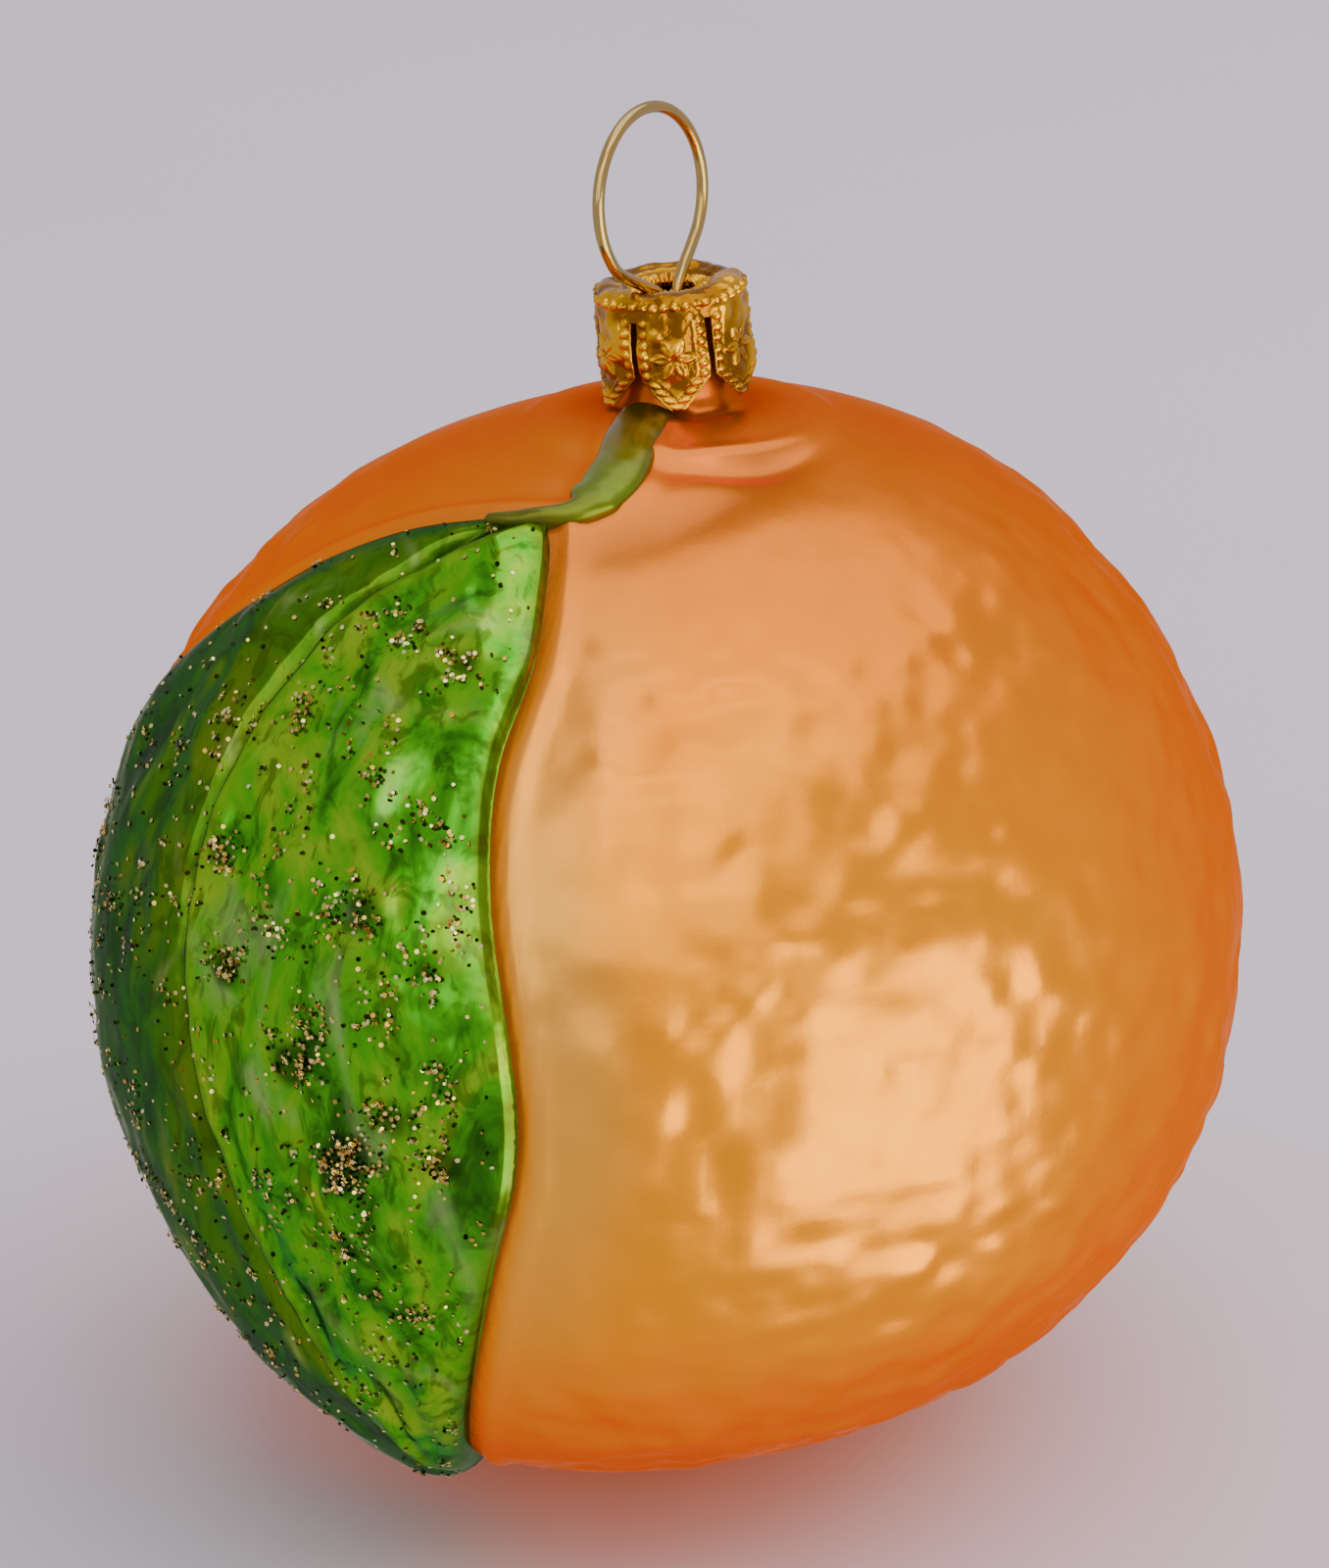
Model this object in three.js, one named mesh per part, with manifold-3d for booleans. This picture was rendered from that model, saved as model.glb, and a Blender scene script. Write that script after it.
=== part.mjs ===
// A mouth-blown glass tree ornament in the shape of an orange with one leaf.
// The glass is a thin hollow shell: fruit, leaf and stem were blown into one
// mould, so they are one piece.  A sheet-metal crown cap sits over the open
// neck, and a spring-wire ring goes through the cap's hole into the neck.
//
// Millimetres, +Z up along the neck.  The front of the fruit faces -Y, with
// the leaf on the left of the front.  The shapes are worked out around the
// middle of the fruit, and the whole ornament is then moved so that the
// origin is where a hook bears: inside the top of the ring.

import * as THREE from 'three';
import { mergeVertices } from 'three/addons/utils/BufferGeometryUtils.js';
import Module from 'manifold-3d';

const wasm = await Module();
wasm.setup();

// ---- driving dimensions -------------------------------------------------

const FRUIT_RADIUS = 34.4;        // half the width, without the leaf
const FRUIT_HALF_HEIGHT = 34.2;   // half the height, before the crown's dip
const UPPER_POWER = 2.04;         // above 2, the upper half has full shoulders
const LOWER_POWER = 2.07;         // and so has the lower half
const WALL = 0.7;                 // glass thickness
const CROWN = 33.5;               // middle of the fruit to the neck's foot

// Broad swellings and flats of the hand-made mould: azimuth and polar angle
// of the middle, half width in degrees, and height in mm.
const SWELLINGS = [
  [0, 0, 28, -0.7], [0, 180, 40, -2.96], [40, 142, 26, 1.3], [-10, 150, 26, -0.79],
  [150, 35, 30, -0.92], [-50, 125, 32, -0.9], [-80, 60, 35, -0.57],
];

const NECK_RADIUS = 3.35;         // outside of the glass neck, under the cap
const NECK_RISE = 5.2;            // height of the neck above the crown
const NECK_FLARE = 1.1;           // extra radius where the neck meets the fruit
const SHOULDER_RADIUS = 11.5;     // rim of the raised ground around the neck
const SHOULDER_RISE = 0.35;       // height of that ground
const SHOULDER_SLOPE = [-1.5, 0.5]; // where its rim starts and ends, from the radius
const ROW_GAP = 0.7;              // from the flare to the fruit's uppermost row

const HEAD_SHIFT = -0.15;         // the neck's foot from the fruit's axis
const HEAD_LEAN = 5;              // degrees, neck, cap and ring lean to the left

const LEAF_RISE = 0.9;            // the leaf stands this much above the fruit
const LEAF_EDGE = 2.2;            // width of its rounded edge
const MIDRIB_DEPTH = 0.7;         // groove along the middle of the leaf
const MIDRIB_WIDTH = 1.3;         // half the width of that groove
const MIDRIB_FADE = [0.5, 3];     // it fades out over these distances from the edge
const STEM_RISE = 0.9;            // the stem stands this much above the fruit
const STEM_REACH = 20;            // no stem farther than this from the axis

const CAP_RADIUS = 4.4;           // outside of the cap's wall
const CAP_FOOT = 0.6;             // petal tips above the crown of the fruit
const CAP_HEIGHT = 6.6;           // petal tips to the top of the cap
const CAP_SHEET = 0.28;           // sheet metal with its embossing
const CAP_HOLE = 1.6;             // radius of the hole in its dished top
const CAP_DISH = 0.75;            // depth of the dish at the hole
const PETALS = 6;                 // the wall is cut into this many petals
const PETAL_SLOT = 0.32;          // width of the cut between two petals
const PETAL_BAND = 1.5;           // uncut band below the top
const PETAL_POINT = 1.75;         // height of a petal's pointed end
const PETAL_TIP = 0.9;            // width of its blunt tip

const WIRE_RADIUS = 0.35;
const RING_RADIUS = 5.05;         // of the wire's centre line
const RING_CENTRE_UP = 12.1;      // ring's centre above the crown
const RING_TURN = 55;             // degrees, plane of the ring about the neck
const RING_SHIFT = -0.9;          // ring's centre from the neck, in its plane
const RING_FROM = 224;            // degrees, where the left leg leaves the ring
const RING_TO = -48;              // degrees, where the right leg leaves it

const COLUMN_FINE = 3;            // degrees between columns across the leaf
const COLUMN_WIDE = 10;           // and round the plain side
const LEAF_SIDE = [5, 105];       // degrees of azimuth that hold the leaf
const BODY_ROWS = 40;             // rows from the foot to the shoulder
const INNER_FINE = 5;             // the same for the inside of the wall
const INNER_WIDE = 12;
const INNER_ROWS = 20;
const CAP_SIDES = 48;
const WIRE_STEPS = 96;
const RING_KNOTS = 16;

// Azimuth runs from the front round to the left, and the polar angle from
// the crown down, both in degrees.  The leaf's two edges and its midrib run
// from the stalk to the tip.
const LEAF_INNER_EDGE = [
  [28, 26], [23, 32.5], [19.8, 42], [20.7, 53], [19.2, 64], [15.6, 79],
  [14.9, 89], [17.5, 100], [21.5, 114], [27, 129], [34, 143],
];
const LEAF_OUTER_EDGE = [
  [28, 26], [41, 27.8], [54.5, 31.8], [65, 38.3], [72, 45.3], [79, 52.8], [88, 63],
  [94, 75], [96, 88], [93, 101], [85, 114], [73, 126], [58, 136], [45, 142], [34, 143],
];
const MIDRIB = [
  [28, 26], [40, 31], [47.5, 38], [53, 45], [55.2, 57], [55.3, 68], [54, 79],
  [51.3, 89], [47, 101.5], [42.5, 113], [37.5, 126], [34, 143],
];
// The stem from the neck to the leaf: azimuth, polar angle, half width in mm.
const STEM = [
  [23, 6, 1.6], [17.5, 13, 1.45], [18.2, 18.7, 1.3], [19.5, 23.5, 1.1],
  [22.5, 26.3, 0.75], [29, 27.2, 0.6],
];

// ---- small helpers -------------------------------------------------------

const radians = THREE.MathUtils.degToRad;

// A closed geometry as a solid for cutting and joining.
function toSolid(geometry) {
  const bare = geometry.clone();
  bare.deleteAttribute('normal');
  bare.deleteAttribute('uv');
  const merged = mergeVertices(bare, 1e-4);
  return new wasm.Manifold(new wasm.Mesh({
    numProp: 3,
    vertProperties: new Float32Array(merged.attributes.position.array),
    triVerts: new Uint32Array(merged.index.array),
  }));
}

// A solid back as a geometry.
function toGeometry(solid) {
  const mesh = solid.getMesh();
  const geometry = new THREE.BufferGeometry();
  geometry.setAttribute('position', new THREE.BufferAttribute(mesh.vertProperties, 3));
  geometry.setIndex(new THREE.BufferAttribute(mesh.triVerts, 1));
  geometry.computeVertexNormals();
  return geometry;
}

// A geometry from rows of points that run round the Z axis, each row with
// the same number of points, closed by one point below and one above.
function closedRows(rows, below, above) {
  const columns = rows[0].length;
  const points = [...rows.flat(), below, above];
  const low = points.length - 2;
  const high = points.length - 1;
  const last = (rows.length - 1) * columns;
  const index = [];
  for (let j = 0; j < columns; j += 1) {
    const k = (j + 1) % columns;
    index.push(low, k, j, high, last + j, last + k);
    for (let i = 0; i < rows.length - 1; i += 1) {
      const a = i * columns + j;
      const b = i * columns + k;
      index.push(a, b, b + columns, a, b + columns, a + columns);
    }
  }
  const geometry = new THREE.BufferGeometry();
  geometry.setAttribute('position', new THREE.Float32BufferAttribute(
    points.flatMap((p) => [p.x, p.y, p.z]), 3));
  geometry.setIndex(index);
  return geometry;
}

// ---- the fruit's own surface ---------------------------------------------

// Point of the plain fruit at an azimuth and polar angle in degrees: a
// superellipsoid.
function fruitPoint(azimuth, polar) {
  const power = 2 / (polar < 90 ? UPPER_POWER : LOWER_POWER);
  const radius = FRUIT_RADIUS * Math.sin(radians(polar)) ** power;
  const height = FRUIT_HALF_HEIGHT * Math.abs(Math.cos(radians(polar))) ** power;
  return new THREE.Vector3(
    -radius * Math.sin(radians(azimuth)),
    -radius * Math.cos(radians(azimuth)),
    polar < 90 ? height : -height);
}

// Outward direction of the plain fruit at a point on it.
function fruitNormal(point) {
  return new THREE.Vector3(
    point.x / FRUIT_RADIUS ** 2,
    point.y / FRUIT_RADIUS ** 2,
    point.z / FRUIT_HALF_HEIGHT ** 2).normalize();
}

// A smooth line through azimuth and polar pairs, as points on the fruit.
function surfaceLine(pairs, steps) {
  const curve = new THREE.SplineCurve(pairs.map(([a, p]) => new THREE.Vector2(a, p)));
  return curve.getPoints(steps);
}

const innerEdge = surfaceLine(LEAF_INNER_EDGE, 60);
const outerEdge = surfaceLine(LEAF_OUTER_EDGE, 60);
const outline = [...innerEdge, ...outerEdge.slice(1, -1).reverse()];
const onFruit = (line) => line.map((p) => fruitPoint(p.x, p.y));
const outlinePoints = onFruit([...outline, outline[0]]);
const midribPoints = onFruit(surfaceLine(MIDRIB, 40));
const stemPoints = onFruit(surfaceLine(STEM, 30));
const stemWidths = new THREE.SplineCurve(
  STEM.map(([, , width], i) => new THREE.Vector2(i, width))).getPoints(30);

// Distance from a point to the nearest stretch of a line, and where it is.
function nearest(point, line) {
  const segment = new THREE.Line3();
  const foot = new THREE.Vector3();
  let best = { distance: Infinity, step: 0 };
  for (let i = 0; i < line.length - 1; i += 1) {
    segment.set(line[i], line[i + 1]);
    segment.closestPointToPoint(point, true, foot);
    const distance = foot.distanceTo(point);
    if (distance < best.distance) best = { distance, step: i };
  }
  return best;
}

// Whether an azimuth and polar pair is inside the leaf's outline.
function insideLeaf(azimuth, polar) {
  let inside = false;
  for (let i = 0, j = outline.length - 1; i < outline.length; j = i, i += 1) {
    const a = outline[i];
    const b = outline[j];
    const spans = (a.y > polar) !== (b.y > polar);
    const crossing = (b.x - a.x) * (polar - a.y) / (b.y - a.y) + a.x;
    if (spans && azimuth < crossing) inside = !inside;
  }
  return inside;
}

// Quarter-round step: 0 outside, 1 from a width inwards.
function roundStep(distance, width) {
  const reach = THREE.MathUtils.clamp(distance / width, 0, 1);
  return Math.sqrt(1 - (1 - reach) ** 2);
}

// Height of the broad swellings at an azimuth and polar angle.
function swelling(azimuth, polar) {
  const here = new THREE.Vector3().setFromSphericalCoords(1, radians(polar), radians(azimuth));
  const middle = new THREE.Vector3();
  return SWELLINGS.reduce((sum, [a, p, width, height]) => {
    middle.setFromSphericalCoords(1, radians(p), radians(a));
    const away = THREE.MathUtils.radToDeg(here.angleTo(middle)) / width;
    return sum + height * Math.exp(-away * away);
  }, 0);
}

// Height of the leaf, the stem and the raised ground round the neck.
function relief(azimuth, polar) {
  const point = fruitPoint(azimuth, polar);
  const { smoothstep } = THREE.MathUtils;
  const fromAxis = Math.hypot(point.x, point.y);
  let height = 0;
  if (point.z > 0) {
    const [start, end] = SHOULDER_SLOPE;
    height = SHOULDER_RISE
      * (1 - smoothstep(fromAxis, SHOULDER_RADIUS + start, SHOULDER_RADIUS + end));
  }
  if (insideLeaf(azimuth, polar)) {
    const edge = nearest(point, outlinePoints).distance;
    const rib = nearest(point, midribPoints).distance;
    const groove = MIDRIB_DEPTH * (1 - smoothstep(rib, 0, MIDRIB_WIDTH));
    height += LEAF_RISE * roundStep(edge, LEAF_EDGE) - groove * smoothstep(edge, ...MIDRIB_FADE);
  }
  if (point.z > 0 && fromAxis < STEM_REACH) {
    const stem = nearest(point, stemPoints);
    const halfWidth = stemWidths[stem.step].y;
    const bump = STEM_RISE * roundStep(halfWidth - stem.distance, halfWidth);
    height = Math.max(height, bump + SHOULDER_RISE * 0.5 * Math.sign(bump));
  }
  return height;
}

// The neck's sideways shift at a height above the middle of the fruit.
function headShift(z) {
  const start = THREE.MathUtils.smoothstep(z, CROWN - 2.5, CROWN);
  const rise = Math.max(0, z - CROWN);
  return HEAD_SHIFT * start - rise * Math.tan(radians(HEAD_LEAN));
}

// Neck profile above the fruit: radius and height, from its flare to its lip.
function neckProfile(radius, lip) {
  const flare = new THREE.QuadraticBezierCurve(
    new THREE.Vector2(radius + NECK_FLARE, CROWN - 0.1),
    new THREE.Vector2(radius + 0.1, CROWN - 0.05),
    new THREE.Vector2(radius, CROWN + 1.1));
  return [...flare.getPoints(4), new THREE.Vector2(radius, CROWN + lip)];
}

// Rows of points from the foot of the fruit to the lip of its neck.  An
// inset of 0 gives the outside, and the wall's thickness gives the inside.
function shellRows(azimuths, rowCount, inset, lip) {
  const neck = neckProfile(NECK_RADIUS - inset, lip);
  const foot = (neck[0].x + ROW_GAP) / FRUIT_RADIUS;
  const top = THREE.MathUtils.radToDeg(Math.asin(foot ** (UPPER_POWER / 2)));
  const rows = [];
  for (let i = 0; i < rowCount; i += 1) {
    const polar = 180 - (180 - top) * (i + 1) / rowCount;
    rows.push(azimuths.map((azimuth) => {
      const point = fruitPoint(azimuth, polar);
      const height = relief(azimuth, polar) + swelling(azimuth, polar) - inset;
      point.addScaledVector(fruitNormal(point), height);
      point.x += headShift(point.z);
      return point;
    }));
  }
  for (const { x: radius, y: z } of neck) {
    rows.push(azimuths.map((azimuth) => new THREE.Vector3(
      headShift(z) - radius * Math.sin(radians(azimuth)),
      -radius * Math.cos(radians(azimuth)), z - (z < CROWN + 0.5 ? inset : 0))));
  }
  return rows;
}

// Azimuths of the columns: close together across the leaf, wide elsewhere.
function columnAzimuths(fine, wide) {
  const [from, to] = LEAF_SIDE;
  const azimuths = [];
  for (let a = to + wide; a <= 360 + from - wide / 2; a += wide) azimuths.push(a);
  for (let a = from; a <= to; a += fine) azimuths.push(a);
  return azimuths.reverse();
}

function glassBody() {
  const lipOutside = NECK_RISE;
  const lipInside = NECK_RISE + 1;
  const shell = (azimuths, rowCount, inset, lip) => {
    const rows = shellRows(azimuths, rowCount, inset, lip);
    const foot = new THREE.Vector3(0, 0, inset - FRUIT_HALF_HEIGHT - swelling(0, 180));
    const topHeight = CROWN + lip;
    return closedRows(rows, foot, new THREE.Vector3(headShift(topHeight), 0, topHeight));
  };
  const outside = shell(columnAzimuths(COLUMN_FINE, COLUMN_WIDE), BODY_ROWS, 0, lipOutside);
  const inside = shell(columnAzimuths(INNER_FINE, INNER_WIDE), INNER_ROWS, WALL, lipInside);
  return toGeometry(toSolid(outside).subtract(toSolid(inside)));
}

// ---- the cap ---------------------------------------------------------------

// The cap's own Z runs along the leaning neck from the crown of the fruit.
function capCup() {
  const top = CAP_FOOT + CAP_HEIGHT;
  const outer = [
    [CAP_HOLE, top - CAP_DISH], [CAP_HOLE + 0.8, top - 0.45], [CAP_RADIUS - 1.25, top - 0.08],
    [CAP_RADIUS - 0.8, top], [CAP_RADIUS - 0.35, top - 0.15], [CAP_RADIUS - 0.1, top - 0.6],
    [CAP_RADIUS, top - 1.5], [CAP_RADIUS, CAP_FOOT],
  ];
  const inner = [
    [CAP_RADIUS - CAP_SHEET, CAP_FOOT], [CAP_RADIUS - CAP_SHEET, top - 1.5],
    [CAP_RADIUS - 0.1 - CAP_SHEET, top - 0.75], [CAP_RADIUS - 0.9, top - CAP_SHEET],
    [CAP_RADIUS - 1.25, top - 0.1 - CAP_SHEET], [CAP_HOLE + 0.8, top - 0.45 - CAP_SHEET],
    [CAP_HOLE, top - CAP_DISH - CAP_SHEET],
  ];
  const loop = [...outer, ...inner, outer[0]].reverse();
  return new THREE.LatheGeometry(loop.map(([r, z]) => new THREE.Vector2(r, z)), CAP_SIDES)
    .rotateX(Math.PI / 2);
}

// What is cut between two petals: a narrow slot that opens into a notch.
function petalGap() {
  const pitch = 2 * Math.PI * CAP_RADIUS / PETALS;
  const half = PETAL_SLOT / 2;
  const wide = (pitch - PETAL_TIP) / 2;
  const slotTop = CAP_FOOT + CAP_HEIGHT - PETAL_BAND;
  const notchTop = CAP_FOOT + PETAL_POINT;
  const shape = new THREE.Shape([
    [half, slotTop], [-half, slotTop], [-half, notchTop], [-wide, CAP_FOOT],
    [-wide, CAP_FOOT - 1], [wide, CAP_FOOT - 1], [wide, CAP_FOOT], [half, notchTop],
  ].map(([x, y]) => new THREE.Vector2(x, y)));
  return new THREE.ExtrudeGeometry(shape, { depth: CAP_RADIUS, bevelEnabled: false })
    .translate(0, 0, CAP_RADIUS / 2)
    .rotateX(Math.PI / 2);
}

function cap() {
  let solid = toSolid(capCup());
  for (let i = 0; i < PETALS; i += 1) {
    const turn = (i + 0.5) * 2 * Math.PI / PETALS;
    solid = solid.subtract(toSolid(petalGap().rotateZ(turn)));
  }
  return toGeometry(solid);
}

// ---- the ring and its two legs ----------------------------------------------

// Centre line in the ring's own plane: across, and up from the crown.
function wireLine() {
  const leftLeg = [[-5.4, -11.5], [-3.9, -7], [-2.2, -2], [-1.6, 1.5], [-0.7, 4.9], [-0.9, 6.3], [-2.4, 7.3]];
  const rightLeg = [[1.5, 7.3], [0.8, 6.2], [0.7, 4.9], [1.5, 1.5], [2.1, -2], [3.8, -7], [5.3, -11.5]];
  const ring = [];
  for (let i = 0; i <= RING_KNOTS; i += 1) {
    const angle = radians(THREE.MathUtils.lerp(RING_FROM, RING_TO, i / RING_KNOTS));
    ring.push([RING_SHIFT + RING_RADIUS * Math.cos(angle),
      RING_CENTRE_UP + RING_RADIUS * Math.sin(angle)]);
  }
  return new THREE.CatmullRomCurve3(
    [...leftLeg, ...ring, ...rightLeg].map(([u, z]) => new THREE.Vector3(u, 0, z)));
}

function hangerWire() {
  const section = new THREE.Shape().absarc(0, 0, WIRE_RADIUS, 0, 2 * Math.PI);
  return new THREE.ExtrudeGeometry(section, {
    steps: WIRE_STEPS, curveSegments: 5, extrudePath: wireLine(), bevelEnabled: false,
  });
}

// ---- the ornament -------------------------------------------------------------

function piece(name, geometry, color, roughness, metalness) {
  const mesh = new THREE.Mesh(
    geometry, new THREE.MeshStandardMaterial({ color, roughness, metalness }));
  mesh.name = name;
  return mesh;
}

const head = new THREE.Group();
head.position.set(HEAD_SHIFT, 0, CROWN);
head.rotation.y = -radians(HEAD_LEAN);
head.add(piece('cap', cap(), 0xc9962e, 0.28, 1));
const wire = piece('hanger_wire', hangerWire(), 0xc8b98a, 0.25, 1);
wire.rotation.z = radians(RING_TURN);
head.add(wire);

const fruit = new THREE.Group();
fruit.add(piece('glass_body', glassBody(), 0xe8894a, 0.4, 0.6));
fruit.add(head);

// The hang point: inside the top of the ring, in the ornament's frame.
head.updateMatrixWorld(true);
const hangPoint = new THREE.Vector3(RING_SHIFT, 0, RING_CENTRE_UP + RING_RADIUS - WIRE_RADIUS);
wire.localToWorld(hangPoint);
fruit.position.copy(hangPoint).negate();

const ornament = new THREE.Group();
ornament.add(fruit);

export default ornament;
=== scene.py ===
"""A mouth-blown glass tree ornament in the shape of an orange with one leaf.

The glass is silvered inside and lacquered outside.  The fruit carries a satin
orange lacquer, the raised leaf and stem a glossy green one with gold glitter
strewn on it.  A crown cap of thin embossed sheet covers the neck, and a ring
of spring wire hangs it.

Shapes are worked out in millimetres around the middle of the fruit, and are
moved into the shared frame, in metres, when they become meshes.  Azimuth runs
from the front of the fruit round to its left, and the polar angle from its
crown down, both in degrees.
"""

from __future__ import annotations

import logging
from dataclasses import dataclass, field
from enum import Enum
from typing import Any, Sequence

import bpy
import numpy as np
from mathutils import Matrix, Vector

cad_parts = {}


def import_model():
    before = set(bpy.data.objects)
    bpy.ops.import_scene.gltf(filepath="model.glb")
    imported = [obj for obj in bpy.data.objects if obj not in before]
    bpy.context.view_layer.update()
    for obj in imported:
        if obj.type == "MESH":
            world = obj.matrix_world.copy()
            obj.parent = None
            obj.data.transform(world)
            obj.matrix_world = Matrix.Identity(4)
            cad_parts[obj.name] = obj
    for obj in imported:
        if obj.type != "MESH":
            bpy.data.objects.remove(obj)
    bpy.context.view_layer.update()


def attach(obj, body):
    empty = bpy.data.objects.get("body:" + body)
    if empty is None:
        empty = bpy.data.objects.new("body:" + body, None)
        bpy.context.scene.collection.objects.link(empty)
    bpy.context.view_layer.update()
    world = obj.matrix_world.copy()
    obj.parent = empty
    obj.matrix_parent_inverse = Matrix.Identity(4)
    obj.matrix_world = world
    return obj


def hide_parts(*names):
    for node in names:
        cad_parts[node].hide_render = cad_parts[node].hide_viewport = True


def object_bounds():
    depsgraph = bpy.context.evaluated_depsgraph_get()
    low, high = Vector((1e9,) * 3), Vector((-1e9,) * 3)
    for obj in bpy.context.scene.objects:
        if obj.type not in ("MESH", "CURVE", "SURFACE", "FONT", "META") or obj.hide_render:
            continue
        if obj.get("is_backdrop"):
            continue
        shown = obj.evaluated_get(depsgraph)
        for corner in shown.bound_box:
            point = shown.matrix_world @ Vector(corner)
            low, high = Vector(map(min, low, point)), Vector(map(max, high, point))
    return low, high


LOG = logging.getLogger("ornament")
MM = 0.001
FAR = 50.0
"""A distance in mm that stands for out of reach."""
DENSE = 400
"""Points on a smooth line before equal steps are taken from it."""

Array = np.ndarray


# ---- numbers and curves ------------------------------------------------------


def smoothstep(values: Array, low: float, high: float) -> Array:
    """Rise smoothly from 0 to 1 between two values.

    Args:
        values: Where to evaluate.
        low: Where the rise starts.
        high: Where it ends.

    Returns:
        3 t^2 - 2 t^3 of the clamped share t of the way from low to high.
    """
    share = np.clip((values - low) / (high - low), 0.0, 1.0)
    return share * share * (3.0 - 2.0 * share)


def bell(values: Array, width: float) -> Array:
    """Return exp(-(v / width)^2), a bump of 1 at zero."""
    return np.exp(-((values / width) ** 2))


def quarter_round(distance: Array, width: float) -> Array:
    """Rise from 0 at an edge to 1 a width inside it along a quarter circle.

    Args:
        distance: Distance inside the edge, negative outside it.
        width: How far in the quarter circle ends.

    Returns:
        sqrt(1 - (1 - d / width)^2), clamped.
    """
    reach = np.clip(distance / width, 0.0, 1.0)
    return np.sqrt(1.0 - (1.0 - reach) ** 2)


def spline(knots: Array, count: int) -> Array:
    """Run a smooth line through knots.

    Args:
        knots: Points that the line passes through, one a row.
        count: How many points to return.

    Returns:
        Points at equal steps of the uniform Catmull-Rom cubic: in each span
        the cubic whose slope at a knot is half the step between its
        neighbours.
    """
    knots = np.asarray(knots, float)
    where = np.linspace(0.0, len(knots) - 1.0, count)
    span = np.minimum(where.astype(int), len(knots) - 2)
    t = (where - span)[:, None]
    before = knots[np.maximum(span - 1, 0)]
    first = knots[span]
    second = knots[span + 1]
    after = knots[np.minimum(span + 2, len(knots) - 1)]
    slope_first = 0.5 * (second - before)
    slope_second = 0.5 * (after - first)
    square = t * t
    cube = square * t
    return (
        (2 * cube - 3 * square + 1) * first
        + (cube - 2 * square + t) * slope_first
        + (3 * square - 2 * cube) * second
        + (cube - square) * slope_second
    )


def even_steps(points: Array, count: int, rule: Array | None = None) -> Array:
    """Take points from a line at equal steps of its length.

    Args:
        points: The line's points.
        count: How many points to return.
        rule: Points whose lengths set the steps, if not the line's own.

    Returns:
        The line at count equal steps from end to end.
    """
    ruler = points if rule is None else rule
    lengths = np.linalg.norm(np.diff(ruler, axis=0), axis=1)
    travelled = np.concatenate([[0.0], np.cumsum(lengths)])
    wanted = np.linspace(0.0, travelled[-1], count)
    columns = [np.interp(wanted, travelled, column) for column in points.T]
    return np.stack(columns, axis=-1)


def nearest_on_line(points: Array, line: Array) -> tuple[Array, Array]:
    """Find how far points are from a line of straight stretches.

    Args:
        points: Any array of points, the last axis x, y, z.
        line: The line's corners.

    Returns:
        The least distance to any stretch, and the share of the line's corners
        passed at the nearest place, both shaped as the points are.  For each
        stretch the nearest place is the foot of the perpendicular, clamped to
        its ends.
    """
    flat = points.reshape(-1, 3)
    start = line[:-1]
    along = np.diff(line, axis=0)
    square = np.maximum((along**2).sum(axis=1), 1e-12)
    distance = np.empty(len(flat))
    place = np.empty(len(flat))
    block = 20000
    for low in range(0, len(flat), block):
        part = flat[low : low + block, None, :] - start[None]
        share = np.clip((part * along).sum(axis=2) / square, 0.0, 1.0)
        gap = ((part - share[..., None] * along) ** 2).sum(axis=2)
        best = gap.argmin(axis=1)
        rows = np.arange(len(best))
        distance[low : low + block] = np.sqrt(gap[rows, best])
        place[low : low + block] = (best + share[rows, best]) / len(along)
    shape = points.shape[:-1]
    return distance.reshape(shape), place.reshape(shape)


def inside_outline(azimuth: Array, polar: Array, outline: Array) -> Array:
    """Tell which places lie inside a closed outline.

    Args:
        azimuth: Azimuths in degrees.
        polar: Polar angles in degrees.
        outline: Corners of the outline, azimuth and polar angle.

    Returns:
        True where a line towards greater azimuth crosses the outline an odd
        number of times.
    """
    inside = np.zeros(azimuth.shape, bool)
    for (ax, ay), (bx, by) in zip(outline, np.roll(outline, -1, axis=0)):
        if ay == by:
            continue
        spans = (ay > polar) != (by > polar)
        crossing = (bx - ax) * (polar - ay) / (by - ay) + ax
        inside ^= spans & (azimuth < crossing)
    return inside


class SmoothNoise:
    """Smooth random values over space, the same on every run."""

    def __init__(self, seed: int, size: int = 48) -> None:
        """Fill the lattice.

        Args:
            seed: Which random lattice.
            size: Lattice points along each side before it repeats.
        """
        self.size = size
        self.lattice = np.random.default_rng(seed).uniform(-1.0, 1.0, (size,) * 3)

    def __call__(self, points: Array, grain: float | Sequence[float]) -> Array:
        """Evaluate the noise.

        Args:
            points: Points in mm, the last axis x, y, z.
            grain: Size of one lattice cell in mm, or one size for each axis.

        Returns:
            Values from -1 to 1: the eight lattice values around each point,
            blended by 6 t^5 - 15 t^4 + 10 t^3 along each axis.
        """
        cell = points / np.asarray(grain, float) + 1000.0
        low = np.floor(cell).astype(int)
        t = cell - low
        fade = t * t * t * (t * (t * 6.0 - 15.0) + 10.0)
        total = np.zeros(points.shape[:-1])
        for corner in np.ndindex(2, 2, 2):
            index = (low + corner) % self.size
            value = self.lattice[index[..., 0], index[..., 1], index[..., 2]]
            weight = np.where(np.array(corner) == 1, fade, 1.0 - fade).prod(axis=-1)
            total += value * weight
        return total

    def layers(self, points: Array, layers: Sequence[tuple[float, float, Any]]) -> Array:
        """Add up noise of several grains.

        Args:
            points: Points in mm, the last axis x, y, z.
            layers: Height in mm, offset and grain of each layer.  The offset
                keeps one layer from repeating another.

        Returns:
            The sum of the layers, in mm.
        """
        return sum(height * self(points + offset, grain) for height, offset, grain in layers)


# ---- the shared dimensions ---------------------------------------------------


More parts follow.
